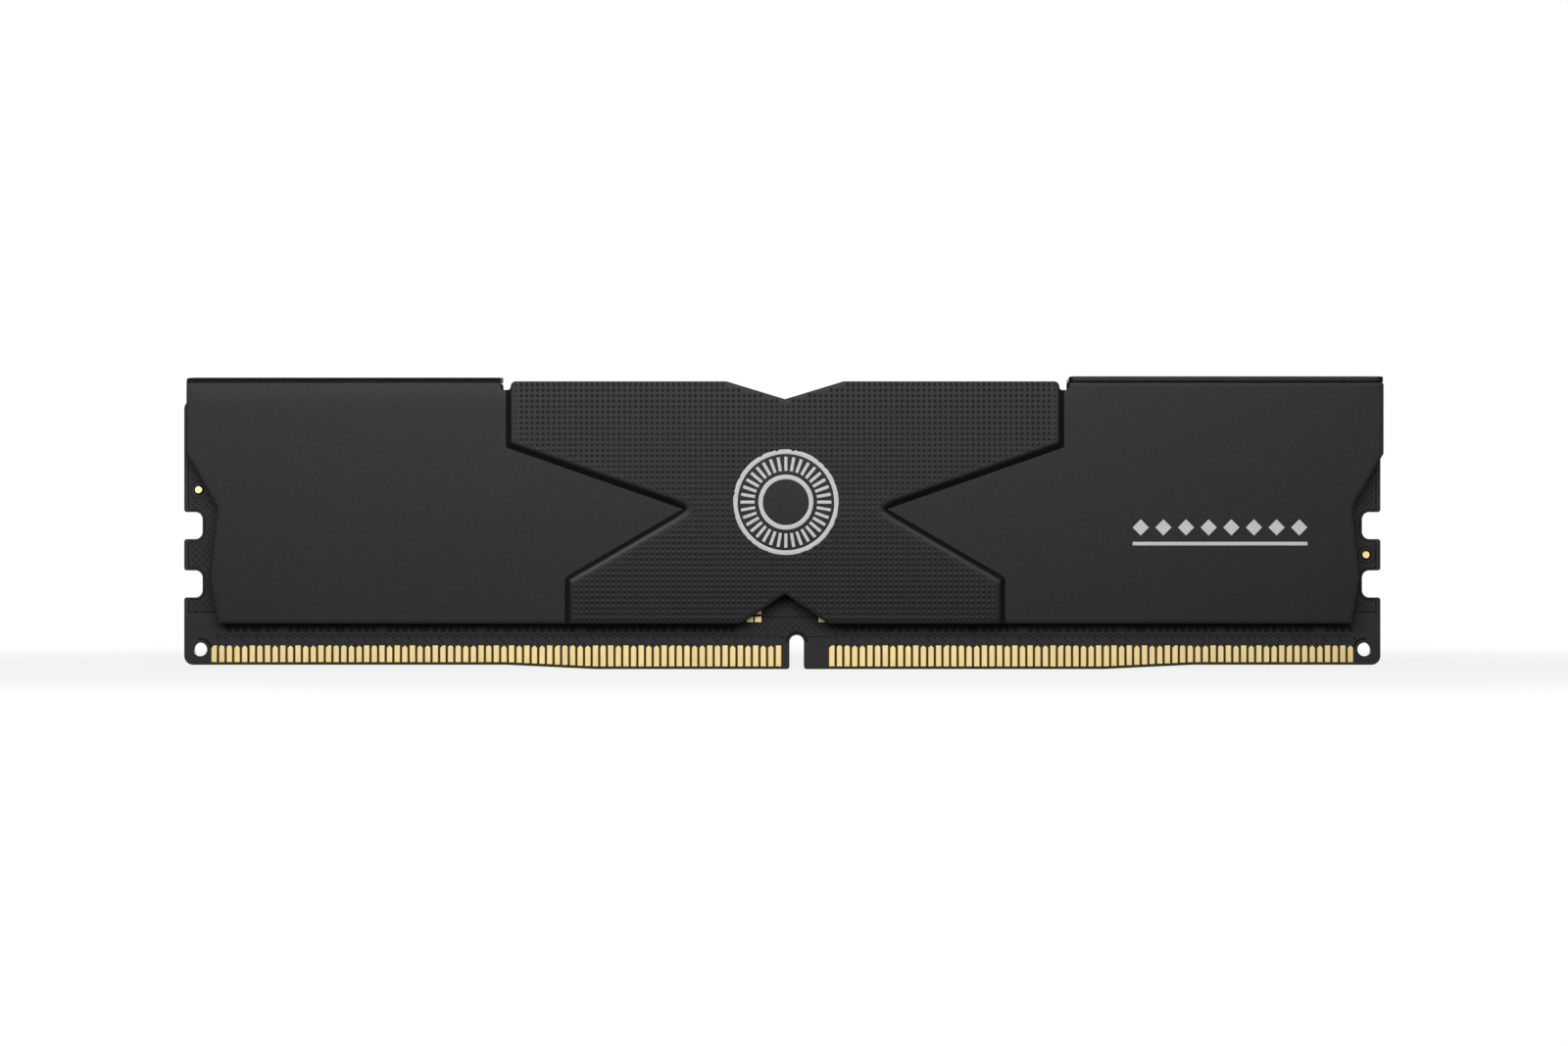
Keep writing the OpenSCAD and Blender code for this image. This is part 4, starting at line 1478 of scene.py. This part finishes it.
    def tracks(self) -> Shape:
        """Tracks that show through the mask.

        Returns:
            One shape with all of them.
        """
        left_end = self.first + self.pitch * (self.left_count - 1)
        right_start = self.first + self.pitch * self.right_first
        right_end = right_start + self.pitch * (self.right_count - 1)
        start, end, over_z = self.key_line
        by_key = np.array([
            [(left_end, self.wave_z), (self.key_x - self.key_half, self.wave_z)],
            [(self.key_x + self.key_half, self.wave_z), (right_start, self.wave_z)],
            [(self.key_x + start, over_z), (self.key_x + end, over_z)],
        ])
        waves = [self.wave(self.first, left_end + self.wave_past[0]),
                 self.wave(right_start, right_end + self.wave_past[1])]
        border = self.border()
        hole = self.hole_arc_r * arc(*self.hole_arc, self.hole_steps) + self.hole * MIRROR
        key = self.key_arc[0] * arc(0, math.pi, self.key_steps) + (self.key_x, self.key_arc[1])
        drawn = (
            (self.track_w, [*waves, *self.falls(), *by_key]), (self.border_w, [border, border * MIRROR]),
            (self.hole_arc_w, [hole, hole * MIRROR]), (self.key_arc_w, [key]),
        )
        lines = [ribbon(path, width, self.track_h) for width, paths in drawn for path in paths]
        rings = [middle + self.fiducial_ring * circle(self.ring_steps) for middle in np.array(self.fiducials)]
        return Shape.joined(lines + [ribbon(ring, self.track_w, self.track_h, closed=True) for ring in rings])

    def build(self) -> None:
        """Adds the face's tracks, clearances and plated holes."""
        rows = self.hole_rows()
        spots = zip((*self.row_plates, self.fiducial_plate), (*rows, np.array(self.fiducials)))
        plated = Shape.joined(plate(*size).repeated(row) for size, row in spots)
        for name, shape, finish in (
                ("board_tracks", self.tracks(), self.sunken_shaded),
                ("hole_clearances", plate(*self.clearance_plate).repeated(rows[0]), self.clearance),
                ("plated_holes", plated, self.sunken_shaded)):
            add_piece(f"{self.side.value}_{name}", self.placed(shape), finish)


@dataclass
class DressedNodes:
    """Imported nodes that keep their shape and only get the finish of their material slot."""

    finishes: dict[Slot, Material]

    def dress(self, nodes: dict[str, bpy.types.Object], record: dict[str, Any]) -> None:
        """Puts the finish of each node's slot on it.

        Args:
            nodes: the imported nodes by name.
            record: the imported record, which names each node's slot.
        """
        for part in record["subparts"]:
            piece = nodes[part["node"]]
            piece.data.materials.clear()
            piece.data.materials.append(self.finishes[Slot(part["material_slot"])])
            LOG.info("%s: dressed as %s", part["node"], part["material_slot"])


# Studio


@dataclass
class Studio:
    """Pale floor, white surroundings, soft light from above the camera, and the camera, in millimetres."""

    camera_place: Triple = (0.19, -550.635, 16.29)
    view_width: float = 174.79
    view_distance: float = 550.0
    sensor_width: float = 36.0
    # Nearest and farthest distance that the camera sees, in metres
    clip: Pair = (0.01, 20.0)
    key_place: Triple = (-20.0, -220.0, 88.0)
    key_size: Pair = (260.0, 90.0)
    key_power: float = 0.51
    aim: Triple = (0.0, 0.0, 16.0)
    ambient: float = 0.1
    # What a mirror sees: white behind the module, little in front of it, and a card about the camera
    front_gloss: float = 0.05
    behind: Pair = (0.9, 1.0)
    card: float = 0.9
    card_edge: Pair = (-0.97, -0.87)
    floor_reach: float = 3000.0
    floor_colour: str = "#555555"
    floor_roughness: float = 0.9
    # The floor is a little darker near the module, over a place twice as long as it is deep
    floor_glow: Pair = (0.86, 1.0)
    floor_fade: Pair = (40.0, 130.0)
    floor_squeeze: Triple = (0.5, 1.0, 1.0)

    def seen_directly(self, tree: Tree, back: bpy.types.NodeSocket) -> Node:
        """Share of white that a ray sees: all from the camera or through glass, and part of it in a mirror.

        Args:
            tree: node tree of the floor or the world.
            back: coordinate that grows from the front to the back.

        Returns:
            The share, 0 for diffuse light.
        """
        add = partial(add_node, tree)
        path = add("LightPath").outputs
        fades = (*self.behind, self.front_gloss, 1.0), (*self.card_edge, self.card, 0.0)
        behind, card = (add("MapRange", {"Value": back, **dict(zip(RANGE, fade))}) for fade in fades)
        mirrored = add("Math", {0: behind, 1: card}, operation="MAXIMUM")
        gloss = add("Math", {0: path["Is Glossy Ray"], 1: mirrored}, operation="MULTIPLY")
        seen = add("Math", {0: path["Is Camera Ray"], 1: gloss}, operation="MAXIMUM")
        return add("Math", {0: seen, 1: path["Is Transmission Ray"]}, operation="MAXIMUM")

    def surroundings(self) -> None:
        """White world where it is seen, and a weaker even light elsewhere."""
        world = bpy.data.worlds.new("surroundings")
        bpy.context.scene.world = world
        world.use_nodes = True
        tree = world.node_tree
        way = add_node(tree, "SeparateXYZ", {0: add_node(tree, "TexCoord").outputs["Generated"]}).outputs["Y"]
        seen = self.seen_directly(tree, way)
        strength = add_node(tree, "Math", {0: seen, 1: self.ambient}, operation="MAXIMUM")
        background = tree.nodes["Background"]
        background.inputs["Color"].default_value = (1, 1, 1, 1)
        tree.links.new(output(strength), background.inputs["Strength"])

    def paper(self) -> Material:
        """Pale paper: it glows to white where it is seen, over a grey that takes the shadow.

        Returns:
            The floor's material.
        """
        made = bpy.data.materials.new("pale_paper")
        made.use_nodes = True
        tree = made.node_tree
        shader = tree.nodes["Principled BSDF"]
        shader.inputs["Base Color"].default_value = linear(self.floor_colour)
        shader.inputs["Roughness"].default_value = self.floor_roughness
        shader.inputs["Specular IOR Level"].default_value = 0.0
        shader.inputs["Emission Color"].default_value = (1, 1, 1, 1)
        add = partial(add_node, tree)
        place = add("TexCoord").outputs["Object"]
        narrowed = add("VectorMath", {0: place, 1: self.floor_squeeze}, operation="MULTIPLY")
        away = add("VectorMath", {0: narrowed}, operation="LENGTH").outputs["Value"]
        near, far = (distance * MM for distance in self.floor_fade)
        limits = dict(zip(RANGE, (near, far, *self.floor_glow)))
        level = add("MapRange", {"Value": away, **limits}, interpolation_type="SMOOTHSTEP")
        back = add("SeparateXYZ", {0: place}).outputs["Y"]
        glow = add("Math", {0: self.seen_directly(tree, back), 1: level}, operation="MULTIPLY")
        tree.links.new(output(glow), shader.inputs["Emission Strength"])
        return made

    def floor(self) -> None:
        """Square paper floor."""
        mesh = bpy.data.meshes.new("floor")
        reach = self.floor_reach * MM
        mesh.from_pydata([(-reach, -reach, 0), (reach, -reach, 0), (reach, reach, 0), (-reach, reach, 0)],
                         [], [(0, 1, 2, 3)])
        mesh.materials.append(self.paper())
        ground = bpy.data.objects.new("floor", mesh)
        bpy.context.scene.collection.objects.link(ground)

    def lamps(self) -> None:
        """Broad soft lamp above the camera, and its twin behind for the rear pieces and the board alone."""
        x, y, z = self.key_place
        rear = bpy.data.collections.new("lit_from_behind")
        for piece in list(bpy.context.scene.objects):
            if piece.name.startswith(Side.REAR.value) or piece.name == "circuit_board":
                rear.objects.link(piece)
        for name, place, lit in (("soft_key", (x, y, z), None), ("soft_back", (-x, -y, z), rear)):
            lamp = bpy.data.lights.new(name, "AREA")
            lamp.shape = "RECTANGLE"
            lamp.size, lamp.size_y = (side * MM for side in self.key_size)
            lamp.energy = self.key_power
            holder = bpy.data.objects.new(name, lamp)
            holder.location = Vector(place) * MM
            way = Vector(self.aim) * MM - holder.location
            holder.rotation_euler = way.to_track_quat("-Z", "Y").to_euler()
            holder.visible_camera = False
            holder.light_linking.receiver_collection = lit
            bpy.context.scene.collection.objects.link(holder)

    def camera(self) -> None:
        """Level camera straight in front of the module."""
        lens = bpy.data.cameras.new("camera")
        lens.sensor_width = self.sensor_width
        lens.lens = self.sensor_width * self.view_distance / self.view_width
        lens.clip_start, lens.clip_end = self.clip
        holder = bpy.data.objects.new("camera", lens)
        holder.location = Vector(self.camera_place) * MM
        holder.rotation_euler = (math.pi / 2, 0, 0)
        bpy.context.scene.collection.objects.link(holder)
        bpy.context.scene.camera = holder

    def build(self) -> None:
        """Sets up the studio."""
        bpy.context.scene.view_settings.view_transform = "Standard"
        for step in (self.surroundings, self.floor, self.lamps, self.camera):
            step()


def main() -> None:
    """Builds the module's pieces in order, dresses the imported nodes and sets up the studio."""
    logging.basicConfig(level=logging.INFO, format="%(message)s")
    coat, ink = COAT.material(), SILVER.material()
    sunken_shaded, clearance = SUNKEN_SHADED_MASK.material(), CLEARANCE.material()
    finishes = {
        Slot.MASK: MASK.material(), Slot.GOLD: GOLD.material(), Slot.RESIN: RESIN.material(),
        Slot.FERRITE: FERRITE.material(), Slot.CERAMIC: CERAMIC.material(), Slot.RESISTOR: GLAZE.material(),
        Slot.SILICONE: SILICONE.material(), Slot.COAT: coat,
    }
    DressedNodes(finishes).dress(frame["nodes"], frame["record"])
    for side in Side:
        SpreaderHalf(side, coat, ink).build()
        BoardFace(side, sunken_shaded, clearance).build()
    Studio().build()


if __name__ == "__main__":
    main()
